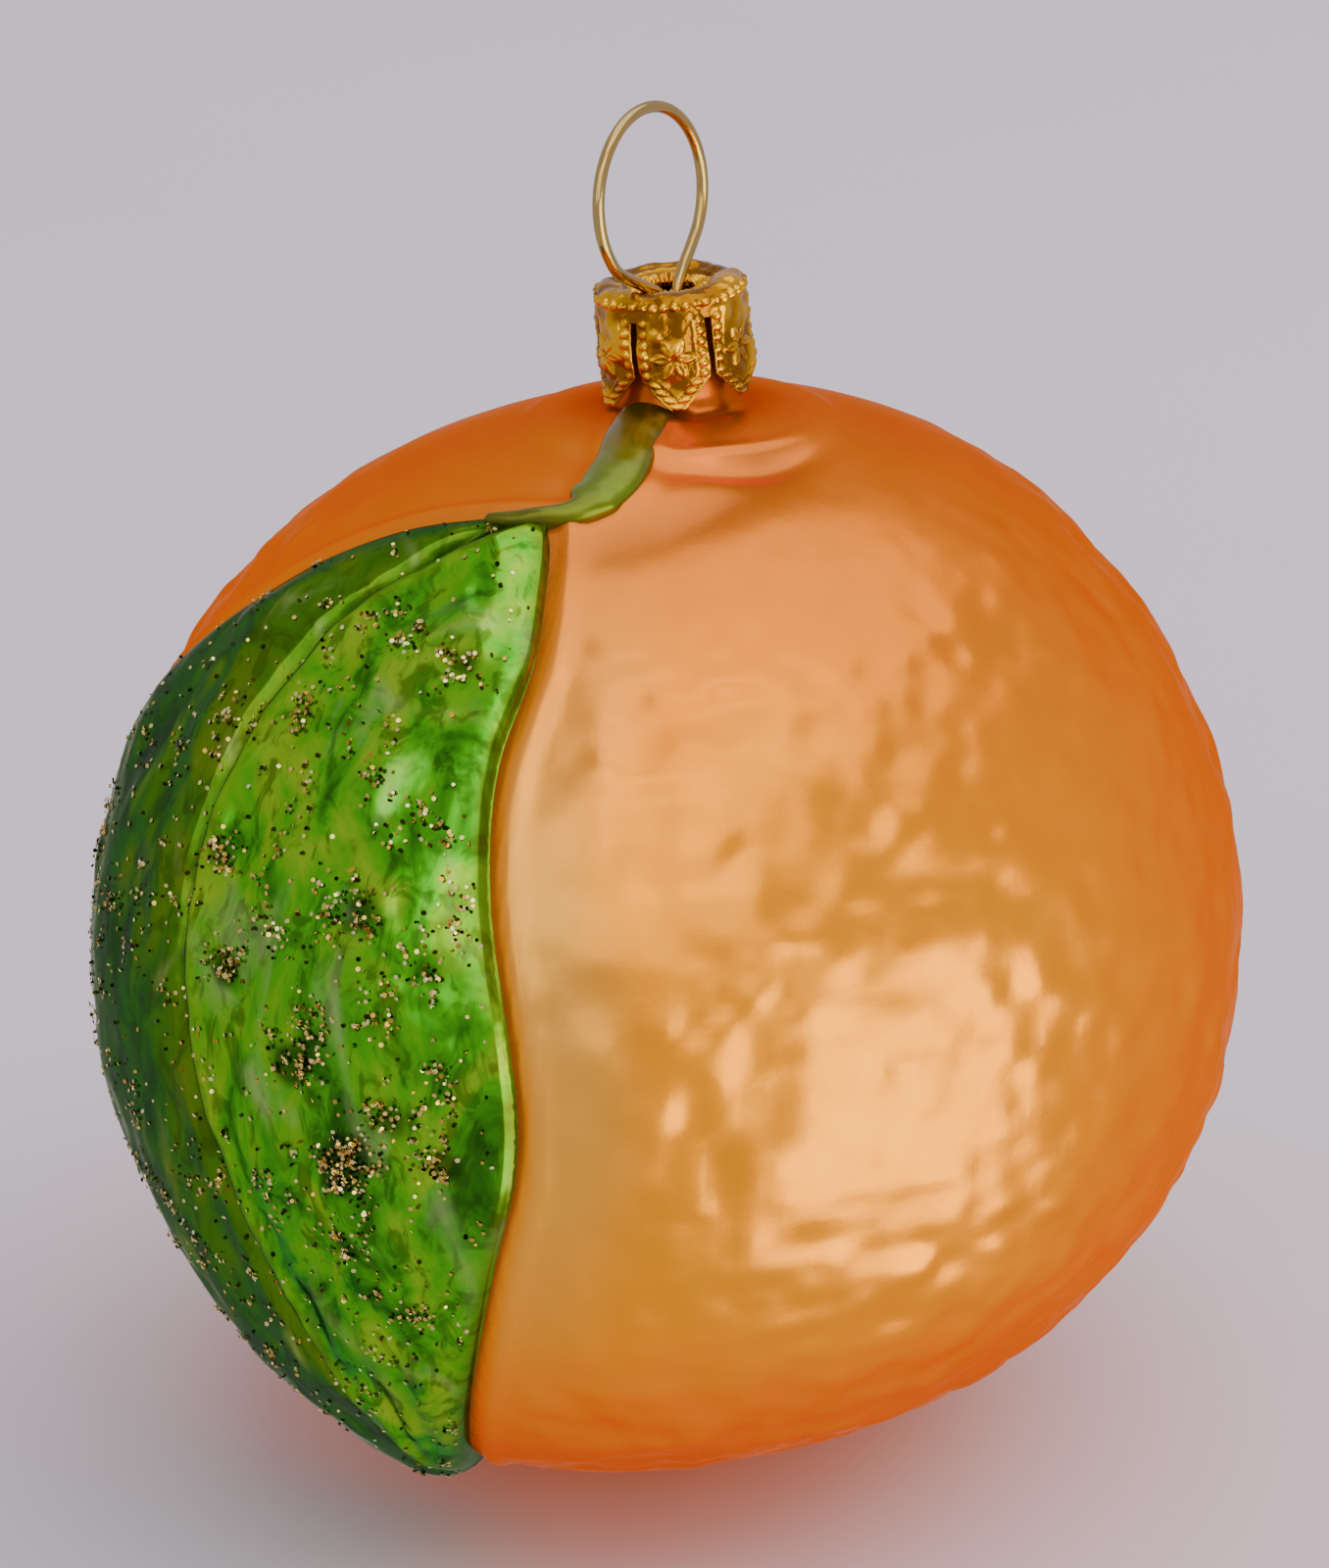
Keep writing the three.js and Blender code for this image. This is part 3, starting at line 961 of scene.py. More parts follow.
@dataclass
class Glass:
    """The orange-lacquered glass with its neck, as one hollow shell."""

    fruit: FruitShape
    head: HeadPlace
    plan: LeafPlan
    columns: int = 360
    rows: int = 222
    inner_rows: int = 22
    neck_radius: float = 3.35
    neck_rise: float = 5.2
    neck_flare: float = 1.1
    dimples: tuple[tuple[float, float, float], ...] = (
        (0.10, 0.0, 6.0), (0.21, 31.0, 2.9), (0.13, 57.0, 1.6),
    )
    level_ridges: tuple[float, float, tuple[float, float, float]] = (0.08, 83.0, (9.0, 9.0, 2.0))
    """Layers of noise: height in mm, offset and grain in mm."""
    peel_fade: float = 6.0
    """How far from the leaf the peel reaches its full height."""
    shoulder_radius: float = 9.4
    shoulder_rise: float = 0.35
    shoulder_front: tuple[float, float] = (-24.0, 30.0)
    """Middle and width, in degrees of azimuth, of the shoulder's sharp stretch."""
    rim_height: float = 0.34
    hollow_depth: float = 0.42
    valley_depth: float = 0.35
    valley_width: float = 2.1
    valley_gap: float = 1.6
    valley_run: float = 5.6
    under_coat: float = 0.6
    """How far the glass sinks under the leaf's skin."""
    ridge: float = 0.34
    ridge_gap: float = 1.15
    crease: float = 0.12
    edge_width: float = 0.55
    """Width of the ridge and of the crease along the leaf's edge."""
    stem_foot: float = 0.3
    # Middle and width of the painted highlight on the front.
    painted_highlight_middle: tuple[float, float] = (-10.0, 82.0)
    painted_highlight_width: float = 38.0
    foot_shade_polar: tuple[float, float] = (100.0, 138.0)
    # Where the painted shade starts to deepen the colour towards the foot, and where it is deepest.
    """Where the colour starts to deepen towards the foot, and where it is deepest."""
    noise: SmoothNoise = field(default_factory=lambda: SmoothNoise(11))

    def peel(self, points: Array, polar: Array) -> Array:
        """Return the height of the peel's dimples and waves.

        Args:
            points: Points on the fruit in mm.
            polar: Their polar angles in degrees.

        Returns:
            Three grains of noise, which fade out by the neck, and low level
            ridges round the lower part.
        """
        dimples = self.noise.layers(points, self.dimples)
        ridges = self.noise.layers(points, [self.level_ridges])
        strength = smoothstep(polar, 22.0, 48.0)
        return strength * dimples + smoothstep(polar, 105.0, 130.0) * ridges

    def shoulder(self, azimuth: Array, polar: Array) -> Array:
        """Return the height of the raised ground round the neck.

        Args:
            azimuth: Azimuths in degrees.
            polar: Polar angles in degrees.

        Returns:
            A low plateau with a soft rim.  The rim is sharp on the front
            right, and a shallow hollow lies outside it there.
        """
        point = self.fruit.point(azimuth, polar)
        reach = np.hypot(point[..., 0], point[..., 1])
        step = 1.0 - smoothstep(reach, self.shoulder_radius - 1.0, self.shoulder_radius + 0.5)
        middle, width = self.shoulder_front
        front_right = bell(self.half_turn(azimuth) - middle, width)
        rim = self.rim_height * bell(reach - self.shoulder_radius + 0.7, 0.6)
        hollow = -self.hollow_depth * bell(reach - self.shoulder_radius - 0.7, 1.0)
        height = self.shoulder_rise * step + front_right * (rim + hollow)
        return np.where(point[..., 2] > 0.0, height, 0.0)

    @staticmethod
    def half_turn(azimuth: Array) -> Array:
        """Return azimuths as -180 to 180 degrees, with the front at 0."""
        return (azimuth + 180.0) % 360.0 - 180.0

    def valley(self, azimuth: Array, polar: Array) -> Array:
        """Return the shape of the soft valley below the shoulder.

        Args:
            azimuth: Azimuths in degrees.
            polar: Polar angles in degrees.

        Returns:
            1 along an arc over the front, fading to 0 beside it.  The arc
            starts just outside the shoulder on the right, and runs farther
            out towards the leaf.
        """
        point = self.fruit.point(azimuth, polar)
        reach = np.hypot(point[..., 0], point[..., 1])
        turned = self.half_turn(azimuth)
        run = self.valley_run * smoothstep(turned, -35.0, 22.0)
        middle = self.shoulder_radius + self.valley_gap + run
        ends = smoothstep(turned, -55.0, -25.0) * (1.0 - smoothstep(turned, 14.0, 28.0))
        return np.where(point[..., 2] > 0.0, ends * bell(reach - middle, self.valley_width), 0.0)

    def relief(self, azimuth: Array, polar: Array) -> tuple[Array, Array]:
        """Work out everything that stands on the plain fruit.

        Args:
            azimuth: Azimuths in degrees.
            polar: Polar angles in degrees.

        Returns:
            Heights in mm, and the distance outside the leaf's edge.
        """
        point = self.fruit.point(azimuth, polar)
        edge = self.plan.edge_distance(azimuth, polar)
        peel = self.peel(point, polar) * smoothstep(-edge, 0.0, self.peel_fade)
        height = self.shoulder(azimuth, polar) + peel
        sunk = self.under_coat * smoothstep(edge, 0.0, 1.5)
        height -= self.valley_depth * self.valley(azimuth, polar) + sunk
        ridge = self.ridge * bell(edge + self.ridge_gap, self.edge_width)
        height += ridge - self.crease * bell(edge, self.edge_width)
        beside_stem = bell(np.minimum(self.plan.stem_distance(azimuth, polar), 0.0), 0.7)
        height += np.where(point[..., 2] > 0.0, self.stem_foot * beside_stem, 0.0)
        height += self.fruit.swelling(azimuth, polar)
        return height, -edge

    def neck_profile(self, inset: float) -> Array:
        """Return radius and height of the neck from its flare to its lip.

        Args:
            inset: How far inside the outer surface.

        Returns:
            A quadratic curve from the flare to the neck, then straight up.
        """
        t = np.linspace(0.0, 1.0, 10)[:, None]
        radius = self.neck_radius - inset
        crown = self.fruit.crown - inset
        start = np.array([radius + self.neck_flare, crown - 0.1])
        bend = np.array([radius + 0.1, crown - 0.05])
        end = np.array([radius, crown + 1.1])
        curve = (1 - t) ** 2 * start + 2 * t * (1 - t) * bend + t**2 * end
        lip = np.array([[radius, self.fruit.crown + self.neck_rise]])
        return np.concatenate([curve, lip])

    def neck_rows(self, azimuth: Array, inset: float) -> Array:
        """Carry the neck's profile round the leaning axis.

        Args:
            azimuth: Azimuth of each column.
            inset: How far inside the outer surface.

        Returns:
            Rows of points in mm.
        """
        profile = self.neck_profile(inset)
        radius, height = profile[:, :1], profile[:, 1:]
        turn = np.radians(azimuth)[None]
        x = self.head.lean_x(height) - radius * np.sin(turn)
        y = -radius * np.cos(turn)
        return np.stack(np.broadcast_arrays(x, y, height), axis=-1)

    def body_rows(self, azimuth: Array, rows: int, inset: float) -> tuple[Array, dict[str, Array]]:
        """Lay rows over the fruit from near its foot to the flare.

        Args:
            azimuth: Azimuth of each column.
            rows: How many rows.
            inset: How far inside the outer surface.

        Returns:
            Rows of points in mm, and the numbers that finish_values gives.
        """
        flare = self.neck_radius - inset + self.neck_flare + 0.5
        top = np.degrees(np.arcsin((flare / self.fruit.radius) ** (self.fruit.upper_power / 2)))
        polar = np.linspace(180.0, top, rows + 1)[1:, None]
        azimuths, polars = np.broadcast_arrays(azimuth[None], polar)
        if inset > 0.0:
            height = self.fruit.swelling(azimuths, polars)
            gap = np.full(azimuths.shape, FAR)
        else:
            height, gap = self.relief(azimuths, polars)
        plain = self.fruit.point(azimuths, polars)
        points = plain + self.fruit.outward(plain) * (height - inset)[..., None]
        points[..., 0] += self.head.lean_x(points[..., 2])
        return points, self.finish_values(azimuths, polars, gap)

    def finish_values(self, azimuth: Array, polar: Array, gap: Array) -> dict[str, Array]:
        """Work out the numbers that the lacquer's colour needs.

        Args:
            azimuth: Azimuths in degrees.
            polar: Polar angles in degrees.
            gap: Distance outside the leaf's edge.

        Returns:
            For each place its distance from the leaf and from the neck's
            axis, its painted light, from -1 for painted shade by the foot to
            1 for a painted highlight in the middle of the front, how much
            painted reflection lies in the band beside the leaf's inner edge,
            and the shape of the valley.
        """
        plain = self.fruit.point(azimuth, polar)
        reach = np.hypot(plain[..., 0], plain[..., 1])
        reach = np.where(plain[..., 2] > 0.0, reach, FAR)
        front = self.fruit.direction(*np.array(self.painted_highlight_middle))
        away = np.degrees(np.arccos(np.clip(self.fruit.direction(azimuth, polar) @ front, -1, 1)))
        # A painted highlight on the front, less painted shade towards the foot.
        painted_highlight_and_foot_shade = bell(away, self.painted_highlight_width) - smoothstep(polar, *self.foot_shade_polar)
        # A painted reflection in a band beside the leaf's inner edge.
        band = smoothstep(gap, 0.4, 1.2) * (1.0 - smoothstep(gap, 3.0, 8.5))
        silvered = 0.75 * band * bell(polar - 74.0, 36.0) * (azimuth < 40.0)
        return {"leaf_gap": gap, "neck_gap": reach, "painted_highlight_and_foot_shade": painted_highlight_and_foot_shade, "silvered": silvered,
                "valley": self.valley(azimuth, polar)}

    def build(self) -> bpy.types.Object:
        """Return the shell: outside up to the lip, then the inside down.

        Both feet close with a fan round a middle point.
        """
        azimuth = np.linspace(0.0, 360.0, self.columns, endpoint=False)[::-1]
        outside, outside_values = self.body_rows(azimuth, self.rows, 0.0)
        inside, inside_values = self.body_rows(azimuth, self.inner_rows, self.fruit.wall)
        outer_neck = self.neck_rows(azimuth, 0.0)
        inner_neck = self.neck_rows(azimuth, self.fruit.wall)[::-1]
        rows = np.concatenate([outside, outer_neck, inner_neck, inside[::-1]])
        drop = self.fruit.half_height + float(self.fruit.swelling(np.array(0.0), np.array(180.0)))
        foot = np.array([[0.0, 0.0, -drop]])
        inner_foot = foot + [0.0, 0.0, self.fruit.wall]
        points = np.concatenate([rows.reshape(-1, 3), foot, inner_foot])
        obj = make_object("orange_glass", self.head.to_frame(points), closed_tube(*rows.shape[:2]))
        neck_and_foot = {"leaf_gap": (FAR, FAR), "neck_gap": (self.neck_radius, FAR)}
        for name, outside_value in outside_values.items():
            on_neck, at_foot = neck_and_foot.get(name, (0.0, 0.0))
            neck = np.full((2 * len(outer_neck), self.columns), on_neck)
            values = np.concatenate([outside_value, neck, inside_values[name][::-1]])
            add_value(obj, name, np.append(values.ravel(), [at_foot, at_foot]))
        return obj


@dataclass
class LeafCoat:
    """The raised leaf with its own lacquer, a thin closed skin on the glass."""

    fruit: FruitShape
    head: HeadPlace
    plan: LeafPlan
    rows: int = 250
    half_columns: int = 66
    rise: float = 0.9
    edge_width: float = 2.2
    crown: float = 0.45
    groove_depth: float = 0.75
    groove_width: float = 0.5
    ridge: float = 0.35
    ridge_gap: float = 1.5
    ridge_width: float = 0.9
    vein: float = 0.10
    veins_across: float = 4.5
    folds: tuple[tuple[float, float, Any], ...] = (
        (0.34, 0.0, (5.5, 5.5, 9.0)), (0.22, 40.0, (2.4, 2.4, 4.5)), (0.07, 60.0, 1.5),
    )
    """Layers of noise: height in mm, offset and grain in mm."""
    tip_rise: float = 0.7
    tip_width: float = 7.0
    rim_drop: float = 0.45
    """How far the very edge dips into the glass."""
    skin: float = 0.7
    noise: SmoothNoise = field(default_factory=lambda: SmoothNoise(23))

    def places(self) -> tuple[Array, Array, Array]:
        """Lay a grid over the leaf from its stalk to its tip.

        Returns:
            Azimuth and polar angle of each point, and its share of the way
            across: -1 on the inner edge, 0 on the midrib, 1 on the outer
            edge.  Between an edge and the midrib the places are straight
            shares of both.
        """
        inner = self.plan.line(self.plan.inner_knots, self.rows)
        rib = self.plan.line(self.plan.rib_knots, self.rows)
        outer = self.plan.line(self.plan.outer_knots, self.rows)
        share = np.linspace(-1.0, 1.0, 2 * self.half_columns + 1)[None, :, None]
        edge = np.where(share < 0.0, inner[:, None], outer[:, None])
        grid = rib[:, None] + np.abs(share) * (edge - rib[:, None])
        across = np.broadcast_to(share[..., 0], grid.shape[:2])
        return grid[..., 0], grid[..., 1], across

    def height(self, azimuth: Array, polar: Array, across: Array) -> tuple[Array, Array, Array]:
        """Work out the leaf's relief.

        Args:
            azimuth: Azimuths in degrees.
            polar: Polar angles in degrees.
            across: Share of the way across the leaf.

        Returns:
            Heights above the plain fruit, distance inside the edge, and
            distance from the midrib, negative towards the inner edge.  The
            edge is a quarter round, each half is crowned, the midrib is a
            sharp groove with a ridge along its inner side, and fine veins
            run together towards the tip.
        """
        point = self.fruit.point(azimuth, polar)
        edge = np.abs(self.plan.edge_distance(azimuth, polar))
        rib_line = self.plan.on_fruit(self.plan.line(self.plan.rib_knots, 120))
        rib, _ = nearest_on_line(point, rib_line)
        rib = rib * np.sign(across)
        along = np.linspace(0.0, 1.0, azimuth.shape[0])[:, None]
        height = self.rise * quarter_round(edge, self.edge_width)
        inland = smoothstep(edge, 0.6, 3.0)
        height += self.crown * np.sin(np.pi * np.abs(across)) * inland
        height -= self.groove_depth * bell(rib, self.groove_width) * inland
        height += self.ridge * bell(rib + self.ridge_gap, self.ridge_width) * inland
        lower = smoothstep(along, 0.55, 0.8) * smoothstep(1.0 - along, 0.02, 0.12)
        veins = self.vein * np.cos(2.0 * np.pi * (self.veins_across * across + 0.6 * along)) * lower
        height += veins * inland * (across < -0.12)
        height += inland * self.noise.layers(point, self.folds)
        tip = self.fruit.point(*np.array(self.plan.rib_knots[-1], float))
        near_tip = bell(np.linalg.norm(point - tip, axis=-1), self.tip_width)
        height += self.tip_rise * near_tip * smoothstep(edge, 0.0, 1.2)
        height -= self.rim_drop * (1.0 - smoothstep(edge, 0.0, 0.35))
        return height + self.fruit.swelling(azimuth, polar), edge, rib

    def surface(self) -> dict[str, Array]:
        """Return the leaf's grid of points, and what the finish and glitter need."""
        azimuth, polar, across = self.places()
        height, edge, rib = self.height(azimuth, polar, across)
        plain = self.fruit.point(azimuth, polar)
        outward = self.fruit.outward(plain)
        top = plain + outward * height[..., None]
        top[..., 0] += self.head.lean_x(top[..., 2])
        return {"azimuth": azimuth, "polar": polar, "edge": edge, "rib": rib,
                "top": top, "outward": outward, "plain": plain}

    def build(self, surface: dict[str, Array], clump: Array) -> bpy.types.Object:
        """Make the skin.

        Args:
            surface: What surface returned.
            clump: How much glitter lies at each point.

        Returns:
            The object: the top grid, the same grid a skin deeper and turned
            over, and a wall between their rims.
        """
        top = surface["top"]
        rows, columns = top.shape[:2]
        under = top - surface["outward"] * self.skin
        quads = grid_quads(rows, columns, wrap=False)
        count = rows * columns
        rim = np.concatenate([
            np.arange(columns),
            np.arange(1, rows) * columns + columns - 1,
            (rows - 1) * columns + np.arange(columns - 2, -1, -1),
            np.arange(rows - 2, 0, -1) * columns,
        ])
        beside = np.roll(rim, -1)
        wall = np.stack([rim, rim + count, beside + count, beside], axis=-1)
        faces = [quads[:, ::-1], quads + count, wall]
        points = np.concatenate([top.reshape(-1, 3), under.reshape(-1, 3)])
        obj = make_object("leaf_coat", self.head.to_frame(points), faces)
        for name, values in (("edge", surface["edge"]), ("rib", surface["rib"]), ("clump", clump)):
            add_value(obj, name, np.tile(values.ravel(), 2))
        return obj


@dataclass
class StemCoat:
    """The raised stem from under the cap to the leaf."""

    fruit: FruitShape
    head: HeadPlace
    plan: LeafPlan
    rows: int = 120
    columns: int = 40
    rise: float = 0.95
    depth: float = 0.6
    lift: float = 0.3
    knot_place: float = 0.62
    knot_rise: float = 0.2
    lumps: tuple[float, float, float] = (0.10, 0.0, 1.6)
    """A layer of noise: height in mm, offset and grain in mm."""
    noise: SmoothNoise = field(default_factory=lambda: SmoothNoise(37))

    def build(self) -> bpy.types.Object:
        """Make the stem.

        Returns:
            The object: at each step along the stem's line an oval, as wide
            as the stem, higher above the fruit than below it, with a knot
            where it meets the leaf's edge.  Its ends close to a point.
        """
        line = self.plan.line(self.plan.stem_knots, self.rows)
        middle = self.plan.on_fruit(line)
        outward = self.fruit.outward(middle)
        along = np.gradient(middle, axis=0)
        along /= np.linalg.norm(along, axis=1, keepdims=True)
        side = np.cross(along, outward)
        turn = np.linspace(0.0, 2.0 * np.pi, self.columns, endpoint=False)
        share = np.linspace(0.0, 1.0, self.rows)
        close = quarter_round(np.minimum(share, 1.0 - share) + 0.002, 0.03)
        knot = 1.0 + self.knot_rise * bell(share - self.knot_place, 0.04)
        wide = (line[:, 2] * close * knot)[:, None] * np.cos(turn)
        tall = np.where(np.sin(turn) > 0.0, self.rise, self.depth) * np.sin(turn)
        tall = (close * (0.75 + 0.25 * knot))[:, None] * tall
        tall += (self.fruit.swelling(line[:, 0], line[:, 1]) + self.lift)[:, None]
        points = middle[:, None] + wide[..., None] * side[:, None] + tall[..., None] * outward[:, None]
        lumps = self.noise.layers(points, [self.lumps]) * close[:, None]
        points += lumps[..., None] * outward[:, None]
        points[..., 0] += self.head.lean_x(points[..., 2])
        ends = points[[0, -1]].mean(axis=1)
        corners = np.concatenate([points.reshape(-1, 3), ends])
        faces = [group[:, ::-1] for group in closed_tube(self.rows, self.columns)]
        obj = make_object("stem_coat", self.head.to_frame(corners), faces)
        add_value(obj, "along", np.append(np.repeat(share, self.columns), [0.0, 1.0]))
        return obj


# ---- glitter -------------------------------------------------------------------------


@dataclass
class GlitterCoat:
    """Hexagonal flakes strewn over the leaf, in clumps and one by one."""

    head: HeadPlace
    seed: int = 5
    singles: int = 950
    specks: int = 150
    clumps: tuple[tuple[float, float, float, int], ...] = (
        (28.1, 44.7, 0.9, 60), (38.0, 43.8, 0.6, 22), (44.0, 42.2, 0.7, 26), (31.1, 68.1, 1.3, 60),
        (50.7, 67.9, 0.9, 60), (46.5, 77.5, 1.1, 80), (37.3, 83.7, 1.1, 90), (35.0, 80.8, 0.9, 55),
        (30.6, 90.1, 1.1, 120), (32.2, 92.5, 1.0, 95), (21.2, 89.4, 1.0, 70), (26.5, 86.0, 1.2, 60),
        (21.5, 81.5, 0.9, 40), (23.5, 72.5, 1.0, 36), (46.8, 53.5, 1.0, 40), (58.9, 56.9, 0.6, 26),
        (33.0, 56.5, 1.0, 34), (34.9, 69.4, 0.8, 30), (40.5, 71.2, 0.9, 34), (32.1, 99.3, 1.1, 55),
        (25.8, 105.0, 1.0, 50), (54.2, 108.9, 0.7, 26), (40.6, 97.3, 0.6, 16), (21.2, 65.0, 0.9, 34),
        (54.2, 55.1, 0.6, 18), (24.3, 60.4, 0.6, 20), (21.7, 67.8, 0.6, 24), (28.4, 77.8, 0.9, 36),
        (70.0, 80.0, 0.9, 30), (78.0, 95.0, 1.0, 36), (64.0, 104.0, 0.8, 22), (82.0, 74.0, 0.7, 22),
    )
    """Azimuth, polar angle, spread in mm and number of flakes of each clump."""
    lumps: int = 9
    """Small heaps in each clump."""
    margin: float = 0.55
    """How far inside the leaf's edge the flakes stop."""
    radius: float = 0.125
    thickness: float = 0.03
    lie: float = 0.05
    """Height of the lowest flakes' middles above the leaf."""
    tilt: float = 0.34

    def clump_weight(self, surface: dict[str, Array]) -> Array:
        """Return how much glitter lies at each point of the leaf."""
        total = np.zeros(surface["edge"].shape)
        for azimuth, polar, spread, count in self.clumps:
            index = self.index_of(surface, azimuth, polar)
            middle = surface["plain"][index]
            away = np.linalg.norm(surface["plain"] - middle, axis=-1)
            total += count / 60.0 * bell(away, spread * 1.1)
        return total

    @staticmethod
    def index_of(surface: dict[str, Array], azimuth: float, polar: float) -> tuple[int, int]:
        """Return the leaf's grid point nearest an azimuth and polar angle."""
        away = (surface["azimuth"] - azimuth) ** 2 + (surface["polar"] - polar) ** 2
        row, column = np.unravel_index(away.argmin(), away.shape)
        return int(row), int(column)

    def places(self, surface: dict[str, Array]) -> tuple[Array, Array]:
        """Choose where the flakes lie.

        Args:
            surface: The leaf's surface.

        Returns:
            Rows and columns on the leaf's grid, in fractions, and how high
            each flake is stacked, in mm.  A clump's flakes lie in a few heaps
            and stray from them.  Specks of a few flakes and single flakes are
            spread evenly over the leaf.
        """
        rng = np.random.default_rng(self.seed)
        top = surface["top"]
        steps = [np.linalg.norm(np.gradient(top, axis=axis), axis=-1) for axis in (0, 1)]
        step = np.stack(steps, axis=-1)
        found = []
        for azimuth, polar, spread, count in self.clumps:
            index = self.index_of(surface, azimuth, polar)
            lump = rng.integers(0, self.lumps, count)
            drift = rng.normal(0.0, spread * 0.30, (count, 2)) * rng.exponential(1.0, (count, 1))
            away = drift + rng.normal(0.0, spread * 0.75, (self.lumps, 2))[lump]
            found.append(np.column_stack([index + away / step[index], rng.uniform(0.0, 0.28, count)]))
        area = step.prod(axis=-1).ravel()
        pick = rng.choice(area.size, self.specks, p=area / area.sum())
        middles = np.column_stack(np.unravel_index(pick, top.shape[:2]))
        which = np.repeat(np.arange(self.specks), rng.integers(3, 11, self.specks))
        drift = rng.normal(0.0, 0.26, (len(which), 2)) * rng.uniform(0.7, 1.8, (self.specks, 1))[which]
        place = middles[which] + drift / step[tuple(middles[which].T)]
        found.append(np.column_stack([place, rng.uniform(0.0, 0.12, len(which))]))
        pick = rng.choice(area.size, self.singles, p=area / area.sum())
        place = np.column_stack(np.unravel_index(pick, top.shape[:2]))
        jitter = rng.uniform(-0.5, 0.5, place.shape)
        found.append(np.column_stack([place + jitter, rng.uniform(0.0, 0.05, self.singles)]))
        every = np.concatenate(found)
        every[:, :2] = np.clip(every[:, :2], 0.0, np.array(top.shape[:2]) - 1.001)
        low = every[:, :2].astype(int)
        safe = surface["edge"][low[:, 0], low[:, 1]] > self.margin
        return every[safe, :2], every[safe, 2]

    def build(self, surface: dict[str, Array]) -> bpy.types.Object:
        """Make all flakes as one mesh.

        Args:
            surface: The leaf's surface.

        Returns:
            The object: a six-sided plate at each place, tilted at random from
            the leaf's own direction.
        """
        place, stack = self.places(surface)
        rng = np.random.default_rng(self.seed + 1)
        low = place.astype(int)
        share = place - low
        top = surface["top"]
        r, c = low[:, 0], low[:, 1]
        fr, fc = share[:, :1], share[:, 1:]
        base = (
            top[r, c] * (1 - fr) * (1 - fc) + top[r + 1, c] * fr * (1 - fc)
            + top[r, c + 1] * (1 - fr) * fc + top[r + 1, c + 1] * fr * fc
        )
        normal = np.cross(top[r + 1, c] - top[r, c], top[r, c + 1] - top[r, c])
        normal *= np.sign((normal * surface["outward"][r, c]).sum(axis=1, keepdims=True))
        normal /= np.linalg.norm(normal, axis=1, keepdims=True)
        tilted = normal + rng.normal(0.0, self.tilt, normal.shape)
        tilted /= np.linalg.norm(tilted, axis=1, keepdims=True)
        spin = rng.normal(size=normal.shape)
        first = np.cross(tilted, spin)
        first /= np.linalg.norm(first, axis=1, keepdims=True)
        second = np.cross(tilted, first)
        centre = base + normal * (self.lie + stack[:, None])
        size = self.radius * rng.uniform(0.7, 1.25, len(place))
        turn = np.radians(np.arange(0, 360, 60))
        ring = (np.cos(turn)[None, :, None] * first[:, None] + np.sin(turn)[None, :, None] * second[:, None])
        ring = ring * size[:, None, None]
        half = 0.5 * self.thickness * tilted[:, None]
        points = centre[:, None] + np.concatenate([ring - half, ring + half], axis=1)
        start = 12 * np.arange(len(place))[:, None, None]
        six = np.arange(6)
        beside = (six + 1) % 6
        sides = np.stack([six, beside, beside + 6, six + 6], axis=-1)
        caps = np.array([[6, 7, 8, 9], [6, 9, 10, 11], [3, 2, 1, 0], [5, 4, 3, 0]])
        faces = (start + np.concatenate([sides, caps])[None]).reshape(-1, 4)
        obj = make_object("glitter", self.head.to_frame(points.reshape(-1, 3)), [faces])
        obj.data.shade_flat()
        tone = rng.uniform(0.0, 1.0, len(place))
        add_value(obj, "tone", np.repeat(tone, 12))
        return obj


# ---- the cap ---------------------------------------------------------------------------


